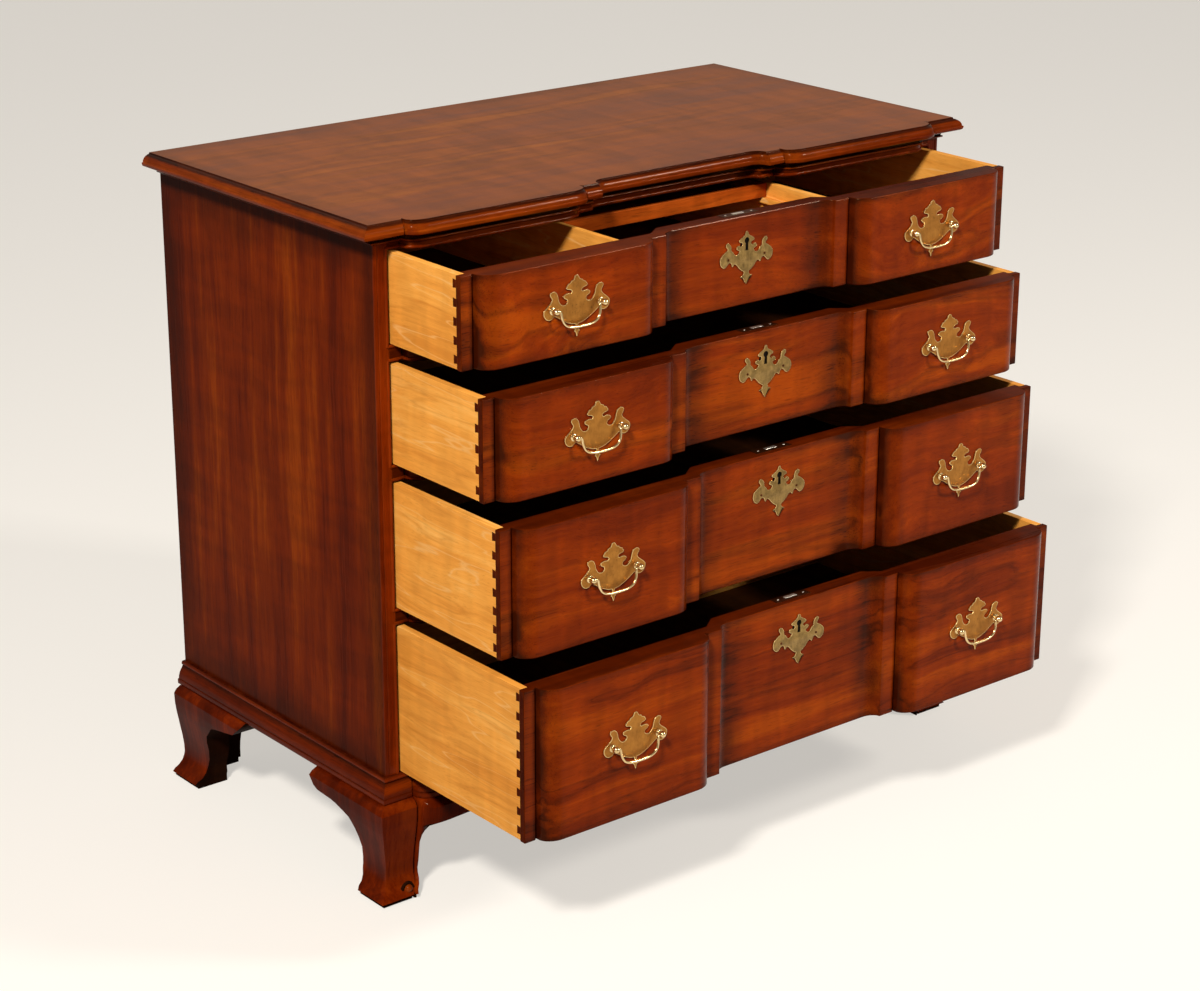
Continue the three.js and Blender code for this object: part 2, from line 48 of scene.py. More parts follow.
# Sizes of the fine work, in metres

POST_OFFSET = 38.5 * MM
POST_REACH = 7 * MM
PLATE_HALF_WIDTH = 53.5 * MM
PLATE_HALF_HEIGHT = 40.4 * MM
PLATE_THICKNESS = 2.2 * MM
BAIL_DROP = 23.5 * MM
BAIL_BOW = 3 * MM
ESCUTCHEON_HALF_WIDTH = 46.8 * MM
ESCUTCHEON_RISE = 38.3 * MM
ESCUTCHEON_BELOW_EDGE = 20.5 * MM
ESCUTCHEON_THICKNESS = 1.8 * MM
RECESS = 13 * MM
BLOCK_PROUD = 20 * MM
CENTRE_HALF = 128 * MM
COVE_WIDTH = 21 * MM
INNER_STRIP = 28 * MM
OVOLO_WIDTH = 26 * MM
QUIRK_WIDTH = 3 * MM
QUIRK_DEPTH = 4 * MM
BLOCK_OUTER = 457 * MM
STILE_WIDTH = 21.6 * MM
HANDLE_OFFSET = 314 * MM
PIN_LENGTH = 9.5 * MM
PIN_PITCH = 25.5 * MM
BEAD_WIDTH = 5 * MM
BEAD_SINK = 0.9 * MM
PIN_BELOW = 28 * MM
NAIL_OFFSET = 32 * MM
NAIL_RISE = 3.4 * MM
SCREW_OFFSET = 23 * MM
SCREW_SETBACK = 7.5 * MM
LOCK_BEHIND = 20 * MM
PAD_HEIGHT = 7 * MM
VOLUTE_PLACE = (486 * MM, -23 * MM, 14 * MM)
VOLUTE_EYE = 6.6 * MM
PIN_PROUD = 0.3 * MM
PIN_HALF_NEAR = 4.6 * MM
PIN_HALF_FAR = 5.9 * MM
SCREW_SINK = 0.5 * MM
KEYHOLE_SHADE_THICKNESS = 0.5 * MM
KEYHOLE_RADIUS = 4.2 * MM
KEYHOLE_RISE = 25.5 * MM
KEYHOLE_FOOT_RISE = 11.8 * MM
KEYHOLE_FOOT_HALF = 2.7 * MM
KEYHOLE_CUT = 8 * MM
END_DEPTH = 2 * MM

# Round head of a keyhole: where it starts and how far it goes, in degrees, and its steps
KEYHOLE_START, KEYHOLE_SWEEP, KEYHOLE_STEPS = -58, 296, 16
# Steps of the hollow and of the rounds in the blades' front line
COVE_STEPS, OVOLO_STEPS = 6, 8

# Roundings of the arrises
BOARD_ROUNDING = 0.8 * MM
MOULDING_ROUNDING = 0.35 * MM
BLADE_ROUNDING = 1.0 * MM
FOOT_ROUNDING = 0.9 * MM
STILE_ROUNDING = 0.5 * MM
FRONT_ROUNDING = 1.2 * MM
DRAWER_BACK_ROUNDING = 1.0 * MM
THIN_ROUNDING = 0.4 * MM
FINE_ROUNDING = 0.3 * MM
PLATE_RIM = 0.9 * MM
ESCUTCHEON_RIM = 0.7 * MM

# What counts as one point, one plane and a face that looks straight along an axis
TOUCHING = 0.01 * MM
ONE_PLANE = math.radians(0.6)
STRAIGHT = 0.9
LEVEL = 0.97
TURNED_TO = 0.7

# Turned pieces as rows of radius and reach, in millimetres
POST_PROFILE = [(5.2, 0), (5.0, 0.5), (3.9, 0.9), (3.1, 1.4), (2.8, 2.0), (2.9, 2.7), (3.6, 3.6),
                (4.3, 4.8), (4.6, 6.2), (4.6, 7.6), (4.3, 9.0), (3.6, 10.3), (2.5, 11.3), (1.2, 11.9),
                (0, 12)]
NAIL_PROFILE = [(1.7, -0.2), (1.6, 0.5), (1.0, 0.9), (0, 1.05)]
VOLUTE_PROFILE = [(10.5, 0), (9.4, 3.2), (7.4, 3.4), (6.6, 2.6), (6.2, 4.6), (5.0, 6.6), (2.8, 8.2),
                  (0, 8.8)]

# Outline of a near-black sheet behind a keyhole, painted shade seen through the hole,
# in millimetres from the middle of the escutcheon
KEYHOLE_SHADE = [(-4.6, 10), (4.6, 10), (5.2, 25.5), (3.6, 30.8), (-3.6, 30.8), (-5.2, 25.5)]

# Corner bead and flat of a stile: how far in from its outer face and back from its front, in millimetres
STILE_EDGE = [(7.2, 0), (6.4, 1.0), (5.4, 0), (2.0, 0), (0.6, 0.6), (0, 2.0)]

# Right half of a handle's plate from its top point down, in shares of its half width and half height
PLATE_SHARES = [
    (0, 1), (0.04, 0.985), (0.07, 0.93), (0.09, 0.875), (0.13, 0.85), (0.175, 0.83), (0.19, 0.785),
    (0.23, 0.765), (0.275, 0.74), (0.285, 0.695), (0.315, 0.665), (0.315, 0.61), (0.27, 0.575),
    (0.2, 0.555), (0.15, 0.505), (0.165, 0.455), (0.22, 0.46), (0.3, 0.465), (0.375, 0.43),
    (0.4, 0.36), (0.36, 0.3), (0.3, 0.26), (0.285, 0.19), (0.32, 0.13), (0.4, 0.11), (0.47, 0.16),
    (0.53, 0.28), (0.555, 0.43), (0.6, 0.55), (0.68, 0.61), (0.765, 0.59), (0.8, 0.52), (0.775, 0.44),
    (0.735, 0.35), (0.79, 0.24), (0.9, 0.13), (0.985, 0.01), (0.975, -0.14), (0.9, -0.255),
    (0.8, -0.29), (0.72, -0.25), (0.66, -0.19), (0.6, -0.235), (0.5, -0.32), (0.38, -0.42),
    (0.25, -0.5), (0.13, -0.555), (0.045, -0.575), (0.04, -0.7), (0.09, -0.8), (0.045, -0.83), (0, -1),
]

# Right half of an escutcheon from its top point down, in shares of its half width and its rise
ESCUTCHEON_SHARES = [
    (0, 1), (0.05, 0.955), (0.065, 0.88), (0.16, 0.8), (0.23, 0.76), (0.29, 0.68), (0.255, 0.625),
    (0.18, 0.6), (0.165, 0.53), (0.225, 0.475), (0.28, 0.53), (0.35, 0.505), (0.39, 0.42),
    (0.33, 0.365), (0.27, 0.33), (0.29, 0.26), (0.38, 0.205), (0.455, 0.245), (0.515, 0.35),
    (0.575, 0.4), (0.585, 0.54), (0.65, 0.655), (0.72, 0.69), (0.78, 0.645), (0.78, 0.56),
    (0.71, 0.46), (0.75, 0.42), (0.88, 0.325), (0.985, 0.19), (1, 0.04), (0.96, -0.09),
    (0.86, -0.175), (0.77, -0.15), (0.7, -0.055), (0.63, -0.02), (0.57, -0.075), (0.54, -0.18),
    (0.5, -0.17), (0.46, -0.115), (0.4, -0.13), (0.35, -0.19), (0.26, -0.31), (0.16, -0.4),
    (0.095, -0.44), (0.11, -0.52), (0.16, -0.57), (0.235, -0.61), (0.16, -0.64), (0.1, -0.71),
    (0.075, -0.79), (0.02, -0.86), (0, -0.9),
]

# Half of a bail from the pin in its post to the middle, in shares of the post offset and the drop
BAIL_SHARES = [
    (1.08, 0), (0.95, 0), (0.86, 0), (0.815, -0.08), (0.80, -0.3), (0.77, -0.52), (0.70, -0.73),
    (0.58, -0.88), (0.4, -0.965), (0.2, -0.995), (0, -1),
]
# Radii of a bail at those points, in millimetres
BAIL_RADII = [1.6, 1.6, 1.6, 1.7, 1.8, 1.8, 1.75, 1.75, 1.8, 1.95, 2.0]


# Modelling

def pick(*pieces):
    bpy.ops.object.select_all(action="DESELECT")
    for piece in pieces:
        piece.select_set(True)
    bpy.context.view_layer.objects.active = pieces[0]


def edit(piece, *steps):
    """Runs steps in edit mode on all of a piece."""
    pick(piece)
    bpy.ops.object.mode_set(mode="EDIT")
    bpy.ops.mesh.select_all(action="SELECT")
    for step in steps:
        step()
    bpy.ops.object.mode_set(mode="OBJECT")
    return piece


def apply(piece, kind, **settings):
    """Adds a modifier, sets it and applies it."""
    pick(piece)
    modifier = piece.modifiers.new(kind.title(), kind)
    for key, value in settings.items():
        setattr(modifier, key, value)
    bpy.ops.object.modifier_apply(modifier=modifier.name)
    return piece


def soften(piece, width, segments=2, angle=32, smooth=38, rim=None):
    """Rounds the arrises and smooths the faces that meet at a low angle."""
    settings = {
        "width": width, "segments": segments, "limit_method": "ANGLE", "angle_limit": math.radians(angle),
        "use_clamp_overlap": rim is None, "miter_outer": "MITER_ARC",
    }
    if rim is not None:
        settings["material"] = rim
    apply(piece, "BEVEL", **settings)
    pick(piece)
    bpy.ops.object.shade_smooth_by_angle(angle=math.radians(smooth))
    return apply(piece, "WEIGHTED_NORMAL", keep_sharp=True, weight=60)


def outward():
    bpy.ops.mesh.normals_make_consistent(inside=False)


def merged():
    bpy.ops.mesh.remove_doubles(threshold=TOUCHING)


def whole_faces():
    bpy.ops.mesh.dissolve_limited(angle_limit=ONE_PLANE)


def settle(piece):
    """Puts a piece's place into its mesh."""
    pick(piece)
    bpy.ops.object.transform_apply(location=True, rotation=True, scale=True)
    return piece


def sheet(name, outline):
    """A flat face with the given outline, modelled on a filled circle."""
    bpy.ops.object.select_all(action="DESELECT")
    bpy.ops.mesh.primitive_circle_add(vertices=len(outline), radius=1, fill_type="NGON")
    piece = bpy.context.active_object
    piece.name = name
    piece.data.name = name
    for vertex, spot in zip(piece.data.vertices, outline):
        vertex.co = spot
    return piece


def slab(name, outline, along):
    """A face with the given outline, extruded along a vector."""
    def pull():
        bpy.ops.mesh.extrude_region_move(TRANSFORM_OT_translate={"value": along})
        bpy.ops.mesh.select_all(action="SELECT")

    return edit(sheet(name, outline), pull, outward)


def turned(name, profile, segments=28, smooth=35):
    """A piece turned about the axis towards -Y: rows of radius and reach, in millimetres."""
    bpy.ops.object.select_all(action="DESELECT")
    bpy.ops.mesh.primitive_plane_add(size=MM)
    piece = bpy.context.active_object
    piece.name = name
    piece.data.name = name
    spots = [Vector((radius, -reach, 0)) * MM for radius, reach in profile]

    def draw():
        bpy.ops.mesh.merge(type="CENTER")
        bpy.ops.transform.translate(value=spots[0])
        for last, spot in zip(spots, spots[1:]):
            bpy.ops.mesh.extrude_vertices_move(TRANSFORM_OT_translate={"value": spot - last})
        bpy.ops.mesh.select_all(action="SELECT")
        bpy.ops.mesh.spin(steps=segments, angle=2 * math.pi, center=(0, 0, 0), axis=(0, 1, 0))
        bpy.ops.mesh.select_all(action="SELECT")

    edit(piece, draw, merged, outward)
    bpy.ops.object.shade_smooth_by_angle(angle=math.radians(smooth))
    return piece


def copied(piece, name, move=(0, 0, 0)):
    """A copy with its own mesh, moved in its mesh."""
    pick(piece)
    bpy.ops.object.duplicate()
    made = bpy.context.active_object
    made.name = name
    made.data.name = name
    for key in list(made.keys()):
        del made[key]
    made.parent = None
    made.location = move
    return settle(made)


def joined(name, *pieces):
    pick(*pieces)
    bpy.ops.object.join()
    pieces[0].name = name
    pieces[0].data.name = name
    return pieces[0]


def cut_away(piece, tool):
    """Cuts the tool's shape out of a piece."""
    apply(piece, "BOOLEAN", operation="DIFFERENCE", solver="EXACT", object=tool)
    return piece


def worked(node, width=BOARD_ROUNDING, **settings):
    """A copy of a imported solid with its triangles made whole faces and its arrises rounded."""
    made = copied(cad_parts[node], f"{node}_finished")
    edit(made, merged, whole_faces)
    return soften(made, width, **settings)


def dress(piece, *finishes):
    """Puts finishes into a piece's material slots in turn."""
    slots = piece.data.materials
    for index, finish in enumerate(finishes):
        if index < len(slots):
            slots[index] = finish
        else:
            slots.append(finish)
    return piece


def second_finish(piece, chosen):
    """Gives the faces that a test picks the second finish."""
    for face in piece.data.polygons:
        if chosen(face):
            face.material_index = 1
    return piece


def place(piece, body, slot, finishes, *nodes):
    """Gives a piece its finishes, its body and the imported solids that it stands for."""
    dress(piece, *finishes)
    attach(piece, body)
    if nodes:
        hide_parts(*nodes)
    return piece


def rounded(points, closed, steps=4):
    """Points of a smooth line through the given ones."""
    count = len(points)

    def point(index):
        return points[index % count if closed else min(max(index, 0), count - 1)]

    def between(a, b, c, d, t):
        bend = (2 * a - 5 * b + 4 * c - d) * t * t
        return 0.5 * (2 * b + (c - a) * t + bend + (3 * b - a - 3 * c + d) * t ** 3)

    line = []
    for index in range(count if closed else count - 1):
        around = [point(index + step) for step in (-1, 0, 1, 2)]
        for step in range(steps):
            line.append(tuple(between(*near, step / steps) for near in zip(*around)))
    if not closed:
        line.append(tuple(points[-1]))
    return line


def both_halves(shares):
    return list(shares) + [(-x, z) for x, z in reversed(shares[1:-1])]


# Finishes

def add_node(tree, kind, inputs=None, **settings):
    made = tree.nodes.new(kind)
    for key, value in settings.items():
        setattr(made, key, value)
    for key, value in (inputs or {}).items():
        if isinstance(value, bpy.types.NodeSocket):
            tree.links.new(value, made.inputs[key])
        else:
            made.inputs[key].default_value = value
    return made


def maths(tree, operation, first, second=0.0, third=0.0, clamp=False):
    inputs = {0: first, 1: second, 2: third}
    return add_node(tree, "ShaderNodeMath", inputs, operation=operation, use_clamp=clamp).outputs[0]


def vectors(tree, operation, first, second=(0, 0, 0)):
    return add_node(tree, "ShaderNodeVectorMath", {0: first, 1: second}, operation=operation).outputs[0]


def noise(tree, vector, scale=1.0, detail=2.0, roughness=0.5, distortion=0.0):
    inputs = {
        "Vector": vector, "Scale": scale, "Detail": detail, "Roughness": roughness, "Distortion": distortion,
    }
    return add_node(tree, "ShaderNodeTexNoise", inputs).outputs["Fac"]


def spread(tree, value, low, high, to_low=0.0, to_high=1.0, smooth=False):
    made = add_node(
        tree, "ShaderNodeMapRange",
        {"Value": value, "From Min": low, "From Max": high, "To Min": to_low, "To Max": to_high},
        interpolation_type="SMOOTHSTEP" if smooth else "LINEAR")
    return made.outputs["Result"]


def ramp(tree, value, stops):
    made = add_node(tree, "ShaderNodeValToRGB", {"Fac": value})
    stock = made.color_ramp.elements
    while len(stock) < len(stops):
        stock.new(0.5)
    for element, (position, colour) in zip(stock, stops):
        element.position = position
        element.color = (*colour, 1) if isinstance(colour, tuple) else (colour, colour, colour, 1)
    return made.outputs["Color"]


def blend_colours(tree, share, first, second, mode="MIX"):
    made = add_node(tree, "ShaderNodeMix", data_type="RGBA", blend_type=mode)
    for index, value in ((0, share), (6, first), (7, second)):
        if isinstance(value, bpy.types.NodeSocket):
            tree.links.new(value, made.inputs[index])
        else:
            made.inputs[index].default_value = value
    return made.outputs[2]


def new_group(name, inputs, outputs):
    group = bpy.data.node_groups.new(name, "ShaderNodeTree")
    for label, kind in inputs:
        group.interface.new_socket(label, in_out="INPUT", socket_type=kind)
    for label, kind in outputs:
        group.interface.new_socket(label, in_out="OUTPUT", socket_type=kind)
    return group, group.nodes.new("NodeGroupInput").outputs, group.nodes.new("NodeGroupOutput").inputs


FLOAT, VECTOR = "NodeSocketFloat", "NodeSocketVector"


# How far the figure's noises are squeezed along and across the grain
SLOW_SQUEEZE = (2.6, 6.0, 6.0)
QUICK_SQUEEZE = (9.0, 16.0, 16.0)
PORE_SQUEEZE = (45.0, 1100.0, 1100.0)
RIPPLE_SQUEEZE = (34.0, 9.0, 9.0)
BAND_LENGTHWISE = 1.7
STREAK_LENGTHWISE = 3.0
HAIR_LENGTHWISE = 14.0
HAIRS_PER_STREAK = 4.5
# Shares of the bands, streaks and hairs in the tone, and of the quick bends in the swirl
BAND_SHARE, STREAK_SHARE, HAIR_SHARE = 0.56, 0.29, 0.15
QUICK_SHARE = 0.28
# Stretches of the noises that become 0 to 1
TONE_RANGE = (0.38, 0.62)
PORE_RANGE = (0.56, 0.72)
RIPPLE_RANGE = (0.35, 0.65)
EDGE_DARK_RANGE = (0.3, 0.7)
EDGE_DARK_REACH = (0.65, 1.5)
NOISE_MIDDLE = 0.5


def build_figure():
    """Figure of the wood with its grain along X: tone, pores, ripple and growth rings; the ripple is partly
    painted sheen.
    """
    tree, given, gives = new_group(
        "wood_figure",
        [("Vector", VECTOR), ("Bands", FLOAT), ("Streaks", FLOAT), ("Swirl", FLOAT), ("Rings", FLOAT)],
        [("Tone", FLOAT), ("Pores", FLOAT), ("Ripple", FLOAT), ("Rings", FLOAT)])
    vector = given["Vector"]
    slow = noise(tree, vectors(tree, "MULTIPLY", vector, SLOW_SQUEEZE), detail=1.5)
    drift = maths(tree, "MULTIPLY", maths(tree, "SUBTRACT", slow, NOISE_MIDDLE), given["Swirl"])
    quick = noise(tree, vectors(tree, "MULTIPLY", vector, QUICK_SQUEEZE), detail=2.0)
    quick_swirl = maths(tree, "MULTIPLY", given["Swirl"], QUICK_SHARE)
    shake = maths(tree, "MULTIPLY", maths(tree, "SUBTRACT", quick, NOISE_MIDDLE), quick_swirl)
    shift = maths(tree, "ADD", drift, shake)
    moved = add_node(tree, "ShaderNodeCombineXYZ", {1: shift, 2: shift}).outputs[0]
    bent = vectors(tree, "ADD", vector, moved)

    def along(lengthwise, across):
        squeeze = add_node(tree, "ShaderNodeCombineXYZ", {0: lengthwise, 1: across, 2: across}).outputs[0]
        return noise(tree, vectors(tree, "MULTIPLY", bent, squeeze), detail=2.5, roughness=0.55)

    bands = along(BAND_LENGTHWISE, given["Bands"])
    streaks = along(STREAK_LENGTHWISE, given["Streaks"])
    hairs = along(HAIR_LENGTHWISE, maths(tree, "MULTIPLY", given["Streaks"], HAIRS_PER_STREAK))
    tone = maths(tree, "MULTIPLY", bands, BAND_SHARE)
    tone = maths(tree, "MULTIPLY_ADD", streaks, STREAK_SHARE, tone)
    tone = maths(tree, "MULTIPLY_ADD", hairs, HAIR_SHARE, tone)
    tree.links.new(spread(tree, tone, *TONE_RANGE), gives["Tone"])
    fine = noise(tree, vectors(tree, "MULTIPLY", bent, PORE_SQUEEZE), detail=1.0)
    tree.links.new(spread(tree, fine, *PORE_RANGE), gives["Pores"])
    sheen_ripple = noise(tree, vectors(tree, "MULTIPLY", vector, RIPPLE_SQUEEZE), detail=1.5, distortion=0.4)
    tree.links.new(spread(tree, sheen_ripple, *RIPPLE_RANGE), gives["Ripple"])
    rings = maths(tree, "PINGPONG", maths(tree, "MULTIPLY", bands, given["Rings"]), 1.0)
    tree.links.new(rings, gives["Rings"])
    return tree


def build_shade():
    """Darker along the edges of a board: 1 at its edges, 0 a width further in."""
    tree, given, gives = new_group(
        "edge_darkening",
        [("Vector", VECTOR), ("Low", VECTOR), ("High", VECTOR), ("Width", FLOAT)],
        [("Shade", FLOAT)])
    low = vectors(tree, "SUBTRACT", given["Vector"], given["Low"])
    high = vectors(tree, "SUBTRACT", given["High"], given["Vector"])
    near = add_node(tree, "ShaderNodeSeparateXYZ", {0: vectors(tree, "MINIMUM", low, high)}).outputs
    least = maths(tree, "MINIMUM", maths(tree, "MINIMUM", near[0], near[1]), near[2])
    patchy = noise(tree, given["Vector"], scale=11.0, detail=2.0)
    least = maths(tree, "MULTIPLY", least, spread(tree, patchy, *EDGE_DARK_RANGE, *EDGE_DARK_REACH))
    share = maths(tree, "DIVIDE", least, given["Width"], clamp=True)
    tree.links.new(spread(tree, share, 0.0, 1.0, 1.0, 0.0, smooth=True), gives["Shade"])
    return tree


figure_group = build_figure()
shade_group = build_shade()

GRAIN_TURNS = {
    "x": (0, 0, 0),
    "y": (0, 0, math.radians(-90)),
    "z": (0, math.radians(90), 0),
}


def new_material(name):
    material = bpy.data.materials.new(name)
    material.use_nodes = True
    tree = material.node_tree
    tree.nodes.clear()
    shader = add_node(tree, "ShaderNodeBsdfPrincipled")
    out = add_node(tree, "ShaderNodeOutputMaterial")
    tree.links.new(shader.outputs["BSDF"], out.inputs["Surface"])
    coordinates = add_node(tree, "ShaderNodeTexCoord").outputs["Object"]
    return material, tree, shader, coordinates


# Span either side of a front's middle over which its swirl and its painted shade are laid out, in metres
SPAN_FROM_MIDDLE = 0.5
HOLLOW_SHADE_PATCHES = {"low": 0.35, "high": 0.65, "to_low": 0.6, "to_high": 1.35}
# Growth rings: where the dark part of a ring starts, and the pale line between two rings
RING_START = 0.72
PALE_WIDTH = 0.09
PALE_DEPTH = 0.4
# The most that pores, rings, darker edges and painted shade can darken a wood together
DARKEST = 0.94
LACQUER_ROUGHNESS = 0.12
LACQUER_IOR = 1.4
LACQUER_TINT = (1.0, 0.50, 0.22, 1)


def wood(name, grain, stops, bands=9.0, streaks=42.0, swirl=0.05, shade=None, shade_depth=0.6, width=0.04,
         hollow_shade=None, gloss=(0.26, 0.36), coat=0.0, specular=0.07, pores=0.35, sheen_ripple=0.12, offset=(0, 0, 0),
         swirl_marks=None, darkening_colour=(0.022, 0.0030, 0.0006, 1), rings=6.0, ring_depth=0.25, pale=None,
         height_shade=None):
    """Lacquered or scraped wood: figure and growth rings along the grain, darker edges, pores, and a ripple
    that is partly painted sheen.

    hollow_shade darkens it by distance from the middle as painted shade in the hollows,
    and height_shade darkens it by height between two levels as painted shade in a moulding's hollows."""
    material, tree, shader, coordinates = new_material(name)
    inputs = {"Vector": coordinates, "Rotation": GRAIN_TURNS[grain], "Location": offset}
    turned_to = add_node(tree, "ShaderNodeMapping", inputs).outputs[0]
    place_in = add_node(tree, "ShaderNodeSeparateXYZ", {0: coordinates}).outputs
    away = maths(tree, "ABSOLUTE", place_in[0])
    away_share = maths(tree, "DIVIDE", away, SPAN_FROM_MIDDLE)
    swing = maths(tree, "MULTIPLY", ramp(tree, away_share, swirl_marks), swirl) if swirl_marks else swirl
    inputs = {"Vector": turned_to, "Bands": bands, "Streaks": streaks, "Swirl": swing, "Rings": rings}
    figure = add_node(tree, "ShaderNodeGroup", node_tree=figure_group)
    for key, value in inputs.items():
        if isinstance(value, bpy.types.NodeSocket):
            tree.links.new(value, figure.inputs[key])
        else:
            figure.inputs[key].default_value = value
    colour = ramp(tree, figure.outputs["Tone"], stops)
    # Ripple: light and dark stripes multiplied into the colour, partly figure and partly painted sheen of
    # the wood's shifting lustre
    sheen_lift = spread(tree, figure.outputs["Ripple"], 0.0, 1.0, 1.0 - sheen_ripple, 1.0 + sheen_ripple)
    sheen_lift_colour = add_node(tree, "ShaderNodeCombineColor", {0: sheen_lift, 1: sheen_lift, 2: sheen_lift}).outputs[0]
    colour = blend_colours(tree, 1.0, colour, sheen_lift_colour, "MULTIPLY")
    if pale:
        line = spread(tree, figure.outputs["Rings"], PALE_WIDTH, 0.0, 0.0, PALE_DEPTH, smooth=True)
        colour = blend_colours(tree, line, colour, (*pale, 1))
    ring = spread(tree, figure.outputs["Rings"], RING_START, 1.0, 0.0, ring_depth, smooth=True)
    dark = maths(tree, "MULTIPLY_ADD", figure.outputs["Pores"], pores, ring)
    if shade:
        toned = add_node(tree, "ShaderNodeGroup", node_tree=shade_group)
        tree.links.new(coordinates, toned.inputs["Vector"])
        toned.inputs["Low"].default_value, toned.inputs["High"].default_value = shade
        toned.inputs["Width"].default_value = width
        dark = maths(tree, "MULTIPLY_ADD", toned.outputs["Shade"], shade_depth, dark)
    # Painted shade in a front's cove, quirks and ends, laid on in patches
    if hollow_shade:
        patchy = spread(tree, noise(tree, coordinates, scale=14.0, detail=3.0), **HOLLOW_SHADE_PATCHES)
        dark = maths(tree, "MULTIPLY_ADD", ramp(tree, away_share, hollow_shade), patchy, dark)
    # Painted shade in a moulding's hollows, laid on by height
    if height_shade:
        low, high, bands_of_shade = height_shade
        height_share = spread(tree, place_in[2], low, high)
        dark = maths(tree, "ADD", ramp(tree, height_share, bands_of_shade), dark)
    dark = maths(tree, "MINIMUM", dark, DARKEST)
    colour = blend_colours(tree, dark, colour, darkening_colour)
    tree.links.new(colour, shader.inputs["Base Color"])
    tree.links.new(spread(tree, figure.outputs["Tone"], 0.0, 1.0, *gloss), shader.inputs["Roughness"])
    shader.inputs["Coat Weight"].default_value = coat
    shader.inputs["Coat Roughness"].default_value = LACQUER_ROUGHNESS
    shader.inputs["Coat IOR"].default_value = LACQUER_IOR
    shader.inputs["Specular IOR Level"].default_value = specular
    shader.inputs["Specular Tint"].default_value = LACQUER_TINT
    height = maths(tree, "MULTIPLY_ADD", figure.outputs["Pores"], -1.0, figure.outputs["Tone"])
    bump = add_node(tree, "ShaderNodeBump", {"Height": height, "Strength": 0.12, "Distance": 0.0002})
    tree.links.new(bump.outputs["Normal"], shader.inputs["Normal"])
    return material


# Patina and scratches of the metals
CLOUD_RANGE = (0.38, 0.66)
SCRATCH_SQUEEZE = (420.0, 420.0, 90.0)
SCRATCH_RANGE = (0.3, 0.75)
SCRATCH_SHARE = 0.5
SPOT_FINENESS = 7
SPOT_RANGE = (0.62, 0.74)
PATINA_ROUGHNESS = 0.2


def metal(name, bright, dull, tarnish, roughness, patina=0.5, scale=60.0):
    """Brass or steel with patches of patina and fine scratches."""
    material, tree, shader, coordinates = new_material(name)
    cloud = spread(tree, noise(tree, coordinates, scale=scale, detail=4.0, roughness=0.6), *CLOUD_RANGE)
    streak = noise(tree, vectors(tree, "MULTIPLY", coordinates, SCRATCH_SQUEEZE), detail=2.0)
    worn = maths(tree, "MULTIPLY", spread(tree, streak, *SCRATCH_RANGE), patina * SCRATCH_SHARE)
    share = maths(tree, "MULTIPLY_ADD", cloud, patina, worn, clamp=True)
    colour = blend_colours(tree, share, (*bright, 1), (*dull, 1))
    spots = spread(tree, noise(tree, coordinates, scale=scale * SPOT_FINENESS, detail=2.0), *SPOT_RANGE)
    colour = blend_colours(tree, maths(tree, "MULTIPLY", spots, patina), colour, (*tarnish, 1))
    tree.links.new(colour, shader.inputs["Base Color"])
    shader.inputs["Metallic"].default_value = 1.0
    worn_roughness = spread(tree, share, 0.0, 1.0, roughness, roughness + PATINA_ROUGHNESS)
    tree.links.new(worn_roughness, shader.inputs["Roughness"])
    bump = add_node(tree, "ShaderNodeBump", {"Height": streak, "Strength": 0.08, "Distance": 0.0001})
    tree.links.new(bump.outputs["Normal"], shader.inputs["Normal"])
    return material


def corners(*nodes):
    lows, highs = zip(*(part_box(node) for node in nodes))
    return Vector(map(min, zip(*lows))), Vector(map(max, zip(*highs)))


# A bound so far out that no edge is toned there
FAR = 9.0

# Woods as steps of tone from their darkest to their lightest colour
MAHOGANY = [(0.0, (0.080, 0.0070, 0.0004)), (0.35, (0.125, 0.0125, 0.0006)),
            (0.65, (0.165, 0.0195, 0.0009)), (1.0, (0.250, 0.0400, 0.0022))]
BASE_MAHOGANY = [(0.0, (0.055, 0.0045, 0.0003)), (0.35, (0.092, 0.0078, 0.0004)),
                 (0.65, (0.135, 0.0125, 0.0006)), (1.0, (0.210, 0.0250, 0.0012))]
# The top's mahogany, lighter and greyer than the sides': painted sheen of its satin lacquer
TOP_SHEEN_MAHOGANY = [(0.0, (0.155, 0.0300, 0.0028)), (0.4, (0.200, 0.0440, 0.0045)),
                (0.7, (0.232, 0.0540, 0.0060)), (1.0, (0.280, 0.0740, 0.0090))]
FRONT_MAHOGANY = [(0.0, (0.140, 0.0130, 0.0004)), (0.3, (0.192, 0.0200, 0.0006)),
                  (0.6, (0.245, 0.0290, 0.0009)), (1.0, (0.335, 0.0510, 0.0018))]
# Dark mahogany: painted shade on the blades and on the fronts' edges between the drawers; the dovetail pins
# share it
SHADED_EDGE_MAHOGANY = [(0.0, (0.042, 0.0042, 0.0003)), (0.5, (0.072, 0.0080, 0.0005)),
                 (1.0, (0.120, 0.0160, 0.0010))]
MOULDING = [(0.0, (0.105, 0.0100, 0.0006)), (0.5, (0.175, 0.0210, 0.0010)), (1.0, (0.270, 0.0440, 0.0020))]
BASE_EDGE = [(0.0, (0.075, 0.0062, 0.0004)), (0.5, (0.130, 0.0125, 0.0006)), (1.0, (0.210, 0.0260, 0.0012))]
# The tray's mahogany, about twice as light as the fronts': painted light on a rail that the top shades
TRAY_LIT_MAHOGANY = [(0.0, (0.300, 0.0420, 0.0030)), (0.5, (0.390, 0.0640, 0.0050)),
                 (1.0, (0.490, 0.0980, 0.0090))]
MAPLE = [(0.0, (0.700, 0.260, 0.036)), (0.35, (0.820, 0.335, 0.053)),
         (0.7, (0.890, 0.390, 0.070)), (1.0, (0.950, 0.480, 0.115))]
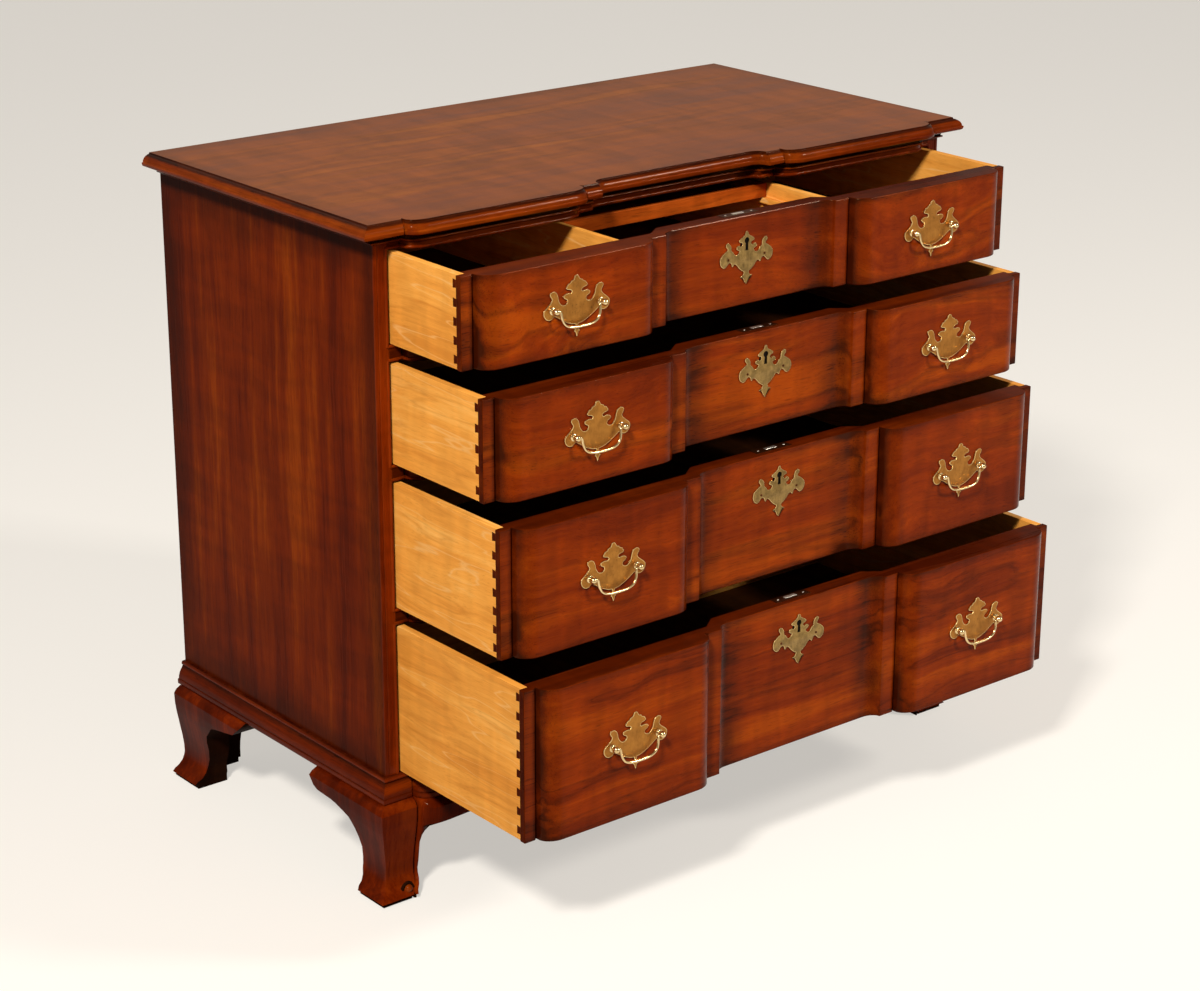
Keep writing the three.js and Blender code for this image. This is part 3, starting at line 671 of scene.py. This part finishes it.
# Drawer bottoms: dark brown, partly as aged wood and partly as painted shade inside the drawers
AGED_SHADED_BOARD = [(0.0, (0.070, 0.0200, 0.0045)), (0.5, (0.110, 0.0340, 0.0075)), (1.0, (0.160, 0.0540, 0.0130))]
# Near black: painted shade on faces turned in or under the case, and the feet's dark pads
PAD_AND_SHADE_BOARD = [(0.0, (0.008, 0.0025, 0.0010)), (0.5, (0.014, 0.0046, 0.0018)), (1.0, (0.024, 0.0080, 0.0032))]
MAPLE_TONING = (0.46, 0.15, 0.018, 1)
# Dark colour of a moulding's pores, rings and painted shade
PORE_AND_SHADE_BROWN = (0.009, 0.0014, 0.0005, 1)
RING_PALE = (0.95, 0.60, 0.24)

# Painted shade on a front by distance from its middle, over that span: darker in the cove, in the quirks and
# at the ends
FRONT_HOLLOW_SHADE = [(0.0, 0.0), (0.19, 0.04), (0.25, 0.55), (0.29, 0.5), (0.312, 0.12), (0.343, 0.2),
               (0.354, 0.85), (0.366, 0.3), (0.42, 0.0), (0.85, 0.0), (0.9, 0.3), (0.914, 0.85),
               (0.93, 0.3), (0.958, 0.45)]
# How much of its swirl a front shows by distance from its middle: most on the blocks
BLOCK_SWIRL = [(0.0, 0.35), (0.3, 0.35), (0.45, 1.0), (0.8, 1.0), (0.93, 0.5)]
# Painted shade in the hollows of the mouldings, from the bottom up: dark in the coves and quirks, light on
# the rounds
TOP_HOLLOW_SHADE = [(0.0, 0.1), (0.08, 0.15), (0.11, 0.94), (0.3, 0.94), (0.37, 0.75), (0.4, 0.1), (0.55, 0.0),
             (0.6, 0.1), (0.82, 0.2), (0.88, 0.8), (1.0, 0.85)]
BASE_HOLLOW_SHADE = [(0.0, 0.1), (0.18, 0.0), (0.24, 0.45), (0.3, 0.1), (0.6, 0.1), (0.78, 0.75), (0.82, 0.7),
              (0.86, 0.0), (0.94, 0.1), (1.0, 0.6)]

# Figure of each drawer's front, by the drawer's number
FRONT_BANDS = {1: 17, 2: 13, 3: 15, 4: 24}
FRONT_SWIRL = {1: 0.16, 2: 0.10, 3: 0.10, 4: 0.05}
FRONT_RINGS = {1: 5, 2: 5, 3: 5, 4: 7}
FIGURE_STEP = (1.37, 0.71)

side_low, side_high = corners("side_left", "side_right")
top_low, top_high = corners("top")
base_low, base_high = corners("base_frame")

side_finish = wood(
    "side_mahogany", "z", MAHOGANY, bands=15, streaks=52, swirl=0.025, rings=4, ring_depth=0.3,
    specular=0.018, shade_depth=0.6, width=0.07,
    shade=((-FAR, side_low.y, side_low.z), (FAR, side_high.y, side_high.z)))
# Painted sheen: the top's colour is lighter and greyer than the sides'
top_sheen_finish = wood(
    "top_mahogany", "x", TOP_SHEEN_MAHOGANY, bands=12, streaks=50, swirl=0.035, gloss=(0.3, 0.38), specular=0.1,
    rings=5, ring_depth=0.2, shade_depth=0.25, width=0.05,
    shade=((top_low.x, top_low.y, -FAR), (top_high.x, top_high.y, FAR)))


def moulding_finishes(name, stops, height_shade):
    """The finishes of a moulding's front and of its ends, where the grain runs the other way."""
    return [wood(f"{name}_{grain}", grain, stops, bands=24, streaks=70, swirl=0.02, gloss=(0.14, 0.2),
                 coat=0.04, specular=0.04, ring_depth=0.1, height_shade=height_shade, darkening_colour=PORE_AND_SHADE_BROWN)
            for grain in ("x", "y")]


top_edges = moulding_finishes("top_edge", MOULDING, (top_low.z, top_high.z, TOP_HOLLOW_SHADE))
base_edges = moulding_finishes("base_edge", BASE_EDGE, (base_low.z, base_high.z, BASE_HOLLOW_SHADE))
foot_finish = wood("foot_mahogany", "z", BASE_MAHOGANY, bands=14, streaks=50, swirl=0.05, gloss=(0.15, 0.22),
                   coat=0.03, specular=0.02)
# The moulding's lighter mahogany on the volute's eye: painted highlight, with a glossy coat
volute_highlight_finish = wood("volute_mahogany_painted_highlight", "z", MOULDING, bands=14, gloss=(0.12, 0.18), coat=0.2)
# Painted shade on the fronts' edges and on the blades, which lie in the shadow between the drawers
shaded_edge_finish = wood("edge_mahogany_painted_shade", "x", SHADED_EDGE_MAHOGANY, bands=20, streaks=60, swirl=0.03, specular=0.015)
stile_finish = wood("stile_mahogany", "z", BASE_EDGE, bands=24, streaks=70, swirl=0.02, gloss=(0.18, 0.26),
                    coat=0.03)
# Near-black finish: painted shade, and the feet's pads
pad_and_shade_finish = wood("pad_and_painted_shade_board", "z", PAD_AND_SHADE_BOARD, gloss=(0.6, 0.7), specular=0.015)
shaded_blade_finish = wood("blade_mahogany_painted_shade", "x", SHADED_EDGE_MAHOGANY, bands=22, streaks=60, swirl=0.03, gloss=(0.2, 0.3))
back_finish = wood("back_mahogany", "z", MAHOGANY, bands=9, streaks=40, swirl=0.03, gloss=(0.5, 0.6))
maple_finish, panel_finish = [wood(
    f"maple_{grain}", grain, MAPLE, bands=20, streaks=95, swirl=0.045, specular=0.1, gloss=(0.42, 0.52),
    pores=0.25, sheen_ripple=0.06, darkening_colour=MAPLE_TONING, rings=11, ring_depth=0.22, pale=RING_PALE)
    for grain in ("y", "x")]
# Aged wood with painted shade for the drawer bottoms
aged_shaded_finish = wood("aged_board_painted_shade", "y", AGED_SHADED_BOARD, bands=16, streaks=70, gloss=(0.55, 0.65))
# Painted light: the tray is lighter than the fronts
tray_lit_finish = wood("tray_mahogany_painted_light", "x", TRAY_LIT_MAHOGANY, bands=18, streaks=60, swirl=0.02,
                   gloss=(0.35, 0.45))

# Metals with their bright, dull and tarnished colours and their roughness
plate_brass = metal(
    "plate_brass", (0.42, 0.180, 0.034), (0.25, 0.102, 0.019), (0.09, 0.045, 0.012), 0.32, patina=0.6)
escutcheon_brass = metal(
    "escutcheon_brass", (0.34, 0.215, 0.070), (0.17, 0.105, 0.034), (0.06, 0.038, 0.016), 0.3, patina=0.7,
    scale=90)
rim_brass = metal(
    "rim_brass", (0.75, 0.54, 0.230), (0.50, 0.33, 0.120), (0.15, 0.09, 0.03), 0.22, patina=0.25)
bail_brass = metal(
    "bail_brass", (0.80, 0.60, 0.310), (0.42, 0.28, 0.110), (0.14, 0.08, 0.03), 0.16, patina=0.35)
lock_bronze = metal("lock_bronze", (0.09, 0.028, 0.009), (0.05, 0.014, 0.005), (0.02, 0.007, 0.003), 0.45)
bolt_steel = metal(
    "bolt_steel", (0.90, 0.87, 0.78), (0.60, 0.55, 0.46), (0.2, 0.15, 0.1), 0.4, patina=0.25)
# Near-black sheet for the painted shade inside the keyholes
keyhole_shade_finish = metal("keyhole_shade_finish", (0.012, 0.009, 0.007), (0.006, 0.004, 0.003), (0.003, 0.002, 0.002), 0.7)


def front_finish(number, low, high):
    """Finish of one drawer's front: swirling figure on the blocks, painted shade in the hollows, darker
    edges.
    """
    return wood(
        f"front_mahogany_{number}", "x", FRONT_MAHOGANY, bands=FRONT_BANDS[number], streaks=62,
        swirl=FRONT_SWIRL[number], swirl_marks=BLOCK_SWIRL, hollow_shade=FRONT_HOLLOW_SHADE, gloss=(0.16, 0.26), coat=0.03,
        shade=((-FAR, -FAR, low.z), (FAR, FAR, high.z)), shade_depth=0.4, width=0.014,
        rings=FRONT_RINGS[number], ring_depth=0.3,
        offset=(number * FIGURE_STEP[0], number * FIGURE_STEP[1], 0))


# Case

# A moulding's face belongs to an end, and not to the front, from this turn on
END_SHARE, END_LEAST = 0.5, 0.2
# How far a foot's face is turned down or under the case before it takes painted shade
TURNED_AWAY = 0.5
# How far a side board's face looks to the front to be part of the stile
STILE_TURN = 0.2


def on_end(face):
    turned_out = abs(face.normal.x) > END_SHARE * abs(face.normal.y) + END_LEAST
    return turned_out and abs(face.center.x) > side_high.x


def moulded(node, slot, face_finish, edge_finishes, way):
    """A moulded board with one finish on its flat face and others along its front and its ends."""
    board = worked(node, MOULDING_ROUNDING, smooth=22)
    for face in board.data.polygons:
        if face.normal.z * way < LEVEL:
            face.material_index = 2 if on_end(face) else 1
    place(board, "case", slot, [face_finish, *edge_finishes], node)


moulded("top", "top_mahogany", top_sheen_finish, top_edges, 1)
# The base frame's underside takes painted shade
moulded("base_frame", "case_mahogany", pad_and_shade_finish, base_edges, -1)
place(worked("back_board"), "case", "case_mahogany", [back_finish], "back_board")
for node in ("top_rail", "divider_1", "divider_2", "divider_3"):
    place(worked(node, BLADE_ROUNDING), "case", "front_mahogany", [shaded_blade_finish], node)


def add_foot(row, end, side, inward):
    """A bracket foot with painted shade on faces turned in, down or under, and a dark pad that is partly
    painted contact shadow.
    """
    def on_pad_or_in_shade(face):
        looks_in = -side * face.normal.x > TURNED_TO or inward * face.normal.y > TURNED_TO
        looks_under = face.normal.z < -TURNED_AWAY or row == "rear" and face.normal.y < -TURNED_AWAY
        return face.center.z < PAD_HEIGHT or looks_in or looks_under

    foot = second_finish(worked(f"foot_{row}_{end}", FOOT_ROUNDING, smooth=30), on_pad_or_in_shade)
    place(foot, "case", "case_mahogany", [foot_finish, pad_and_shade_finish], f"foot_{row}_{end}")


for end, side in (("left", -1), ("right", 1)):
    add_foot("front", end, side, 1)
    add_foot("rear", end, side, -1)
    ball = turned(f"foot_volute_{end}", VOLUTE_PROFILE)
    # Painted shade on the volute outside its eye, in the groove and on the flange
    second_finish(ball, lambda face: math.hypot(face.center.x, face.center.z) > VOLUTE_EYE)
    ball.location = (side * VOLUTE_PLACE[0], case_front + VOLUTE_PLACE[1], VOLUTE_PLACE[2])
    place(settle(ball), "case", "case_mahogany", [volute_highlight_finish, pad_and_shade_finish])


def stile_plan(side, low, high):
    """Plan of a side board, its front edge worked with a corner bead and a flat."""
    inner, outer = (high.x, low.x) if side < 0 else (low.x, high.x)
    edge = [(outer - side * inward * MM, low.y + back * MM, low.z) for inward, back in STILE_EDGE]
    return [(inner, low.y, low.z), *edge, (outer, high.y, low.z), (inner, high.y, low.z)]


def add_side(end, side):
    """A side board, its front edge finished as the stile."""
    low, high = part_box(f"side_{end}")
    board = slab(f"side_{end}_finished", stile_plan(side, low, high), (0, 0, high.z - low.z))
    soften(board, STILE_ROUNDING, angle=50)
    second_finish(board, lambda face: face.normal.y < -STILE_TURN)
    place(board, "case", "case_mahogany", [side_finish, stile_finish], f"side_{end}")


add_side("left", -1)
add_side("right", 1)


def quarter(steps, spot):
    return [spot(math.pi / 2 * step / steps) for step in range(steps + 1)]


def blocked_line(end, face):
    """Front line of the blades from left to right, its strips at the given y."""
    inner = CENTRE_HALF + COVE_WIDTH + INNER_STRIP
    outer = BLOCK_OUTER
    cove = quarter(COVE_STEPS, lambda a: (CENTRE_HALF + COVE_WIDTH * math.sin(a), RECESS * math.cos(a)))

    def ovolo(start, width):
        return quarter(OVOLO_STEPS, lambda a: (start + width * (1 - math.cos(a)),
                                               -BLOCK_PROUD * math.sin(a)))

    rise = ovolo(inner, OVOLO_WIDTH)
    fall = ovolo(outer, -OVOLO_WIDTH)
    half = [*cove, (inner - QUIRK_WIDTH, 0), (inner, QUIRK_DEPTH), *rise[1:], *reversed(fall[1:]),
            (outer, QUIRK_DEPTH), (outer + QUIRK_WIDTH, 0), (end, 0)]
    return [(x, face + y) for x, y in [(-x, y) for x, y in reversed(half)] + half]


def wire(name, line, radii, smooth=50):
    """A round bar along a line of points, as thick as its radii say."""
    curve = bpy.data.curves.new(name, "CURVE")
    curve.dimensions = "3D"
    curve.bevel_depth = 1.0
    curve.bevel_resolution = 3
    curve.use_fill_caps = True
    spline = curve.splines.new("POLY")
    spline.points.add(len(line) - 1)
    for point, place_at, radius in zip(spline.points, line, radii):
        point.co = (*place_at, 1)
        point.radius = radius
    bar = bpy.data.objects.new(name, curve)
    bpy.context.scene.collection.objects.link(bar)
    pick(bar)
    bpy.ops.object.convert(target="MESH")
    bar = bpy.context.active_object
    bpy.ops.object.shade_smooth_by_angle(angle=math.radians(smooth))
    return bar


def bead(line):
    return wire("bead", line, [BEAD_WIDTH / 2] * len(line))


def add_cock_beads():
    """The bead that frames each drawer's opening: along the blades and up the stiles."""
    half = BEAD_WIDTH / 2
    stile_middle = side_high.x - STILE_WIDTH + half
    front = case_front + BEAD_SINK
    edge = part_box("top_rail")[0].z
    heights = [edge + half]
    openings = []
    for number in (1, 2, 3):
        low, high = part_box(f"divider_{number}")
        openings.append((high.z, edge))
        heights += [high.z - half, low.z + half]
        edge = low.z
    openings.append((base_high.z, edge))
    along = blocked_line(stile_middle, front)
    beads = [bead([(x, y, height) for x, y in along]) for height in heights]
    for low_edge, high_edge in openings:
        for side in (-1, 1):
            ends = (low_edge - half, high_edge + half)
            beads.append(bead([(side * stile_middle, front, height) for height in ends]))
    place(joined("cock_beads", *beads), "case", "case_mahogany", [stile_finish])


add_cock_beads()


# Drawers

plate_outline = [(x * PLATE_HALF_WIDTH, 0, z * PLATE_HALF_HEIGHT)
                 for x, z in rounded(both_halves(PLATE_SHARES), closed=True, steps=2)]
escutcheon_outline = [(x * ESCUTCHEON_HALF_WIDTH, 0, z * ESCUTCHEON_RISE)
                      for x, z in rounded(both_halves(ESCUTCHEON_SHARES), closed=True, steps=2)]


def brass_sheet(name, outline, thickness, width):
    """Sheet brass cut to an outline, its back at y zero and its bevelled rim bright."""
    sheet_brass = dress(slab(name, outline, (0, -thickness, 0)), plate_brass, rim_brass)
    return soften(sheet_brass, width, segments=2, angle=62, smooth=24, rim=1)


def keyhole():
    """The shape of a keyhole, set across the escutcheon to cut it."""
    steps = range(KEYHOLE_STEPS + 1)
    turns = [math.radians(KEYHOLE_START + KEYHOLE_SWEEP * step / KEYHOLE_STEPS) for step in steps]
    head = [(KEYHOLE_RADIUS * math.cos(a), 0, KEYHOLE_RISE + KEYHOLE_RADIUS * math.sin(a)) for a in turns]
    foot = [(-KEYHOLE_FOOT_HALF, 0, KEYHOLE_FOOT_RISE), (KEYHOLE_FOOT_HALF, 0, KEYHOLE_FOOT_RISE)]
    hole = slab("keyhole", head + foot, (0, KEYHOLE_CUT, 0))
    hole.location = (0, -KEYHOLE_CUT / 2, 0)
    return settle(hole)


model_plate = brass_sheet("plate", plate_outline, PLATE_THICKNESS, PLATE_RIM)
model_post = dress(turned("post", POST_PROFILE), bail_brass)
bail_half = [(x * POST_OFFSET, z, radius * MM) for (x, z), radius in zip(BAIL_SHARES, BAIL_RADII)]
bail_other_half = [(-x, z, radius) for x, z, radius in reversed(bail_half[:-1])]
bail_line = rounded(bail_half + bail_other_half, closed=False, steps=5)
model_bail = wire("bail", [(x, z * BAIL_BOW, z * BAIL_DROP) for x, z, radius in bail_line],
                  [radius for x, z, radius in bail_line])
model_escutcheon = brass_sheet("escutcheon", escutcheon_outline, ESCUTCHEON_THICKNESS, ESCUTCHEON_RIM)
hole = keyhole()
cut_away(model_escutcheon, hole)
bpy.data.objects.remove(hole)
# Painted shade: a near-black sheet behind each escutcheon darkens the keyhole
keyhole_shade_outline = [(x * MM, 0, z * MM) for x, z in KEYHOLE_SHADE]
model_keyhole_shade = dress(slab("keyhole_shade", keyhole_shade_outline, (0, -KEYHOLE_SHADE_THICKNESS, 0)), keyhole_shade_finish)
model_nail = turned("nail", NAIL_PROFILE, segments=16, smooth=60)
model_screw = copied(model_nail, "screw")
model_screw.rotation_euler = (math.radians(-90), 0, 0)
settle(model_screw)


def add_handle(drawer, end, centre):
    """Plate, posts and bail of one handle: centre is the middle of the plate's back."""
    plate = copied(model_plate, f"{drawer}_plate_{end}_face", centre)
    place(plate, drawer, "brass", [], f"{drawer}_plate_{end}")
    face = Vector(centre) - Vector((0, PLATE_THICKNESS, 0))
    for name, side in (("a", -1), ("b", 1)):
        post = copied(model_post, f"{drawer}_post_{end}_{name}", face + Vector((side * POST_OFFSET, 0, 0)))
        place(post, drawer, "brass", [bail_brass])
    pin = copied(model_nail, f"{drawer}_pin_{end}", face - Vector((0, 0, PIN_BELOW)))
    place(pin, drawer, "brass", [bail_brass])
    hung = copied(model_bail, f"{drawer}_bail_{end}_wire", face - Vector((0, POST_REACH, 0)))
    place(hung, f"{drawer}_bail_{end}", "brass", [bail_brass], f"{drawer}_bail_{end}")


def dovetail_pins(name, side, low, high):
    """Pins of a drawer's front at one end, cut into the end of the drawer's side."""
    height = high.z - low.z
    count = round(height / PIN_PITCH)
    pitch = height / count
    inner, outer = (high.x, low.x) if side < 0 else (low.x, high.x)
    near = low.y - PIN_PROUD
    far = near + PIN_LENGTH
    middle = low.z + pitch / 2
    outline = [(outer, near, middle - PIN_HALF_NEAR), (outer, far, middle - PIN_HALF_FAR),
               (outer, far, middle + PIN_HALF_FAR), (outer, near, middle + PIN_HALF_NEAR)]
    pins = slab(name, outline, (inner - outer, 0, 0))
    return apply(pins, "ARRAY", count=count, use_relative_offset=False, use_constant_offset=True,
                 constant_offset_displace=(0, 0, pitch))


def lock_face(drawer, behind):
    """The lock as seen in the drawer's top edge, without the escutcheon, which is modelled by itself."""
    def cut():
        bpy.ops.mesh.bisect(plane_co=(0, behind, 0), plane_no=(0, 1, 0), clear_inner=True, use_fill=True)

    return edit(worked(f"{drawer}_lock", FINE_ROUNDING), cut)


def add_drawer(number):
    drawer = f"drawer_{number}"
    low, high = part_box(f"{drawer}_front")
    strip = low.y + BLOCK_PROUD

    def is_edge(face):
        at_end = abs(face.normal.x) > STRAIGHT and abs(face.center.x) > high.x - END_DEPTH
        return at_end or abs(face.normal.z) > STRAIGHT or face.normal.y > STRAIGHT

    front = second_finish(worked(f"{drawer}_front", FRONT_ROUNDING, smooth=24), is_edge)
    place(front, drawer, "front_mahogany", [front_finish(number, low, high), shaded_edge_finish], f"{drawer}_front")
    for end, side in (("left", -1), ("right", 1)):
        node = f"{drawer}_side_{end}"
        board_low, board_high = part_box(node)
        pins = dovetail_pins(f"{drawer}_pins_{end}", side, board_low, board_high)
        board = copied(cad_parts[node], f"{node}_finished")
        edit(board, merged, whole_faces)
        cut_away(board, pins)
        place(soften(board, THIN_ROUNDING, angle=50), drawer, "maple", [maple_finish], node)
        place(soften(pins, FINE_ROUNDING, segments=1, angle=50), drawer, "front_mahogany", [shaded_edge_finish])
    place(worked(f"{drawer}_back", DRAWER_BACK_ROUNDING), drawer, "maple", [panel_finish], f"{drawer}_back")
    place(worked(f"{drawer}_bottom", THIN_ROUNDING), drawer, "maple", [aged_shaded_finish], f"{drawer}_bottom")
    for end, side in (("left", -1), ("right", 1)):
        add_handle(drawer, end, (side * HANDLE_OFFSET, strip - BLOCK_PROUD, (low.z + high.z) / 2))
    middle = Vector((0, strip + RECESS, high.z - ESCUTCHEON_BELOW_EDGE - ESCUTCHEON_RISE))
    place(copied(model_escutcheon, f"{drawer}_escutcheon", middle), drawer, "brass", [escutcheon_brass])
    place(copied(model_keyhole_shade, f"{drawer}_keyhole_shade", middle), drawer, "steel", [])
    lock = lock_face(drawer, strip + LOCK_BEHIND)
    place(lock, drawer, "brass", [lock_bronze], f"{drawer}_lock")
    lock_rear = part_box(f"{drawer}_lock")[1].y
    for name, side in (("a", -1), ("b", 1)):
        spot = middle + Vector((side * NAIL_OFFSET, -ESCUTCHEON_THICKNESS, NAIL_RISE))
        place(copied(model_nail, f"{drawer}_nail_{name}", spot), drawer, "brass", [lock_bronze])
        spot = Vector((side * SCREW_OFFSET, lock_rear - SCREW_SETBACK, high.z - SCREW_SINK))
        place(copied(model_screw, f"{drawer}_screw_{name}", spot), drawer, "brass", [bolt_steel])
    bolt = worked(f"{drawer}_lock_bolt", THIN_ROUNDING)
    place(bolt, f"{drawer}_bolt", "steel", [bolt_steel], f"{drawer}_lock_bolt")


for number in (1, 2, 3, 4):
    add_drawer(number)
for end in ("left", "right"):
    node = f"drawer_1_partition_{end}"
    place(worked(node), "drawer_1", "maple", [maple_finish], node)
place(worked("drawer_1_tray"), "drawer_1_tray", "front_mahogany", [tray_lit_finish], "drawer_1_tray")

models = [model_plate, model_post, model_bail, model_escutcheon, model_keyhole_shade, model_nail, model_screw]
for model in models:
    bpy.data.objects.remove(model)


# Floor, light and camera

FLOOR_PALE = (0.46, 0.44, 0.41, 1)
FLOOR_GLOW = (0.90, 0.86, 0.80, 1)
GLOW_STRENGTH = 0.6
FLOOR_BROWN = (0.24, 0.165, 0.10, 1)
ROOM_LIGHT = 0.15
ROOM_COLOUR = (1.0, 0.93, 0.83, 1)
WALL_FRONT, WALL_REAR = 0.28, 0.5
WALL_COLOUR = (1.0, 0.86, 0.72, 1)
WALL_TURN = (-0.1, 0.5)
FLOOR_SIZE = 40
FLOOR_ROUGHNESS = 0.7
FLOOR_SPECULAR = 0.1
LAMP_COLOUR = (1, 0.96, 0.9)
LAMP_SIZE = 0.65
LAMP_TARGET = (0, 0, 0.5)
KEY_PLACE, KEY_POWER = (-3.5, -2.4, 4.2), 332
FILL_PLACE, FILL_POWER = (3.0, -3.4, 3.0), 155
# The camera's place, the way that it looks, its roll in degrees and its lens in millimetres
CAMERA_PLACE = (-2.403679, -2.885811, 1.773624)
CAMERA_WAY = (0.59517, 0.72979, -0.33641)
CAMERA_ROLL = -0.148
CAMERA_LENS = 83.42
CAMERA_FILM = 36


def seen_rays(tree):
    """1 for the rays that show the pale room, 0 for those that only carry its light."""
    path = add_node(tree, "ShaderNodeLightPath").outputs
    shown = maths(tree, "MAXIMUM", path["Is Camera Ray"], path["Is Glossy Ray"])
    return maths(tree, "MAXIMUM", shown, path["Is Transmission Ray"])


bpy.ops.object.select_all(action="DESELECT")
bpy.ops.mesh.primitive_plane_add(size=FLOOR_SIZE)
floor = bpy.context.active_object
floor.name = "floor"
floor_material, tree, shader = new_material("pale_floor")[:3]
seen = seen_rays(tree)
tree.links.new(blend_colours(tree, seen, FLOOR_BROWN, FLOOR_PALE), shader.inputs["Base Color"])
tree.links.new(maths(tree, "MULTIPLY", seen, GLOW_STRENGTH), shader.inputs["Emission Strength"])
shader.inputs["Emission Color"].default_value = FLOOR_GLOW
shader.inputs["Roughness"].default_value = FLOOR_ROUGHNESS
shader.inputs["Specular IOR Level"].default_value = FLOOR_SPECULAR
floor.data.materials.append(floor_material)

world = bpy.data.worlds.new("studio")
bpy.context.scene.world = world
world.use_nodes = True
tree = world.node_tree
tree.nodes.clear()
seen = seen_rays(tree)
direction = add_node(tree, "ShaderNodeTexCoord").outputs["Generated"]
rearward = add_node(tree, "ShaderNodeSeparateXYZ", {0: direction}).outputs[1]
wall = spread(tree, rearward, *WALL_TURN, WALL_FRONT, WALL_REAR, smooth=True)
strength = maths(tree, "MULTIPLY_ADD", seen, maths(tree, "SUBTRACT", wall, ROOM_LIGHT), ROOM_LIGHT)
colour = blend_colours(tree, seen, ROOM_COLOUR, WALL_COLOUR)
background = add_node(tree, "ShaderNodeBackground", {"Color": colour, "Strength": strength})
add_node(tree, "ShaderNodeOutputWorld", {"Surface": background.outputs[0]})


def softbox(name, place_at, power):
    light = bpy.data.lights.new(name, "AREA")
    light.shape = "RECTANGLE"
    light.size = LAMP_SIZE
    light.size_y = LAMP_SIZE
    light.energy = power
    light.color = LAMP_COLOUR
    lamp = bpy.data.objects.new(name, light)
    bpy.context.scene.collection.objects.link(lamp)
    lamp.location = place_at
    lamp.rotation_euler = (Vector(LAMP_TARGET) - Vector(place_at)).to_track_quat("-Z", "Y").to_euler()


softbox("key", KEY_PLACE, KEY_POWER)
softbox("fill", FILL_PLACE, FILL_POWER)

camera_data = bpy.data.cameras.new("camera")
camera_data.sensor_width = CAMERA_FILM
camera_data.lens = CAMERA_LENS
camera = bpy.data.objects.new("camera", camera_data)
bpy.context.scene.collection.objects.link(camera)
camera.location = CAMERA_PLACE
forward = Vector(CAMERA_WAY).normalized()
roll = Quaternion(forward, math.radians(CAMERA_ROLL))
camera.rotation_euler = (roll @ forward.to_track_quat("-Z", "Y")).to_euler()
bpy.context.scene.camera = camera
bpy.context.scene.view_settings.view_transform = "Standard"
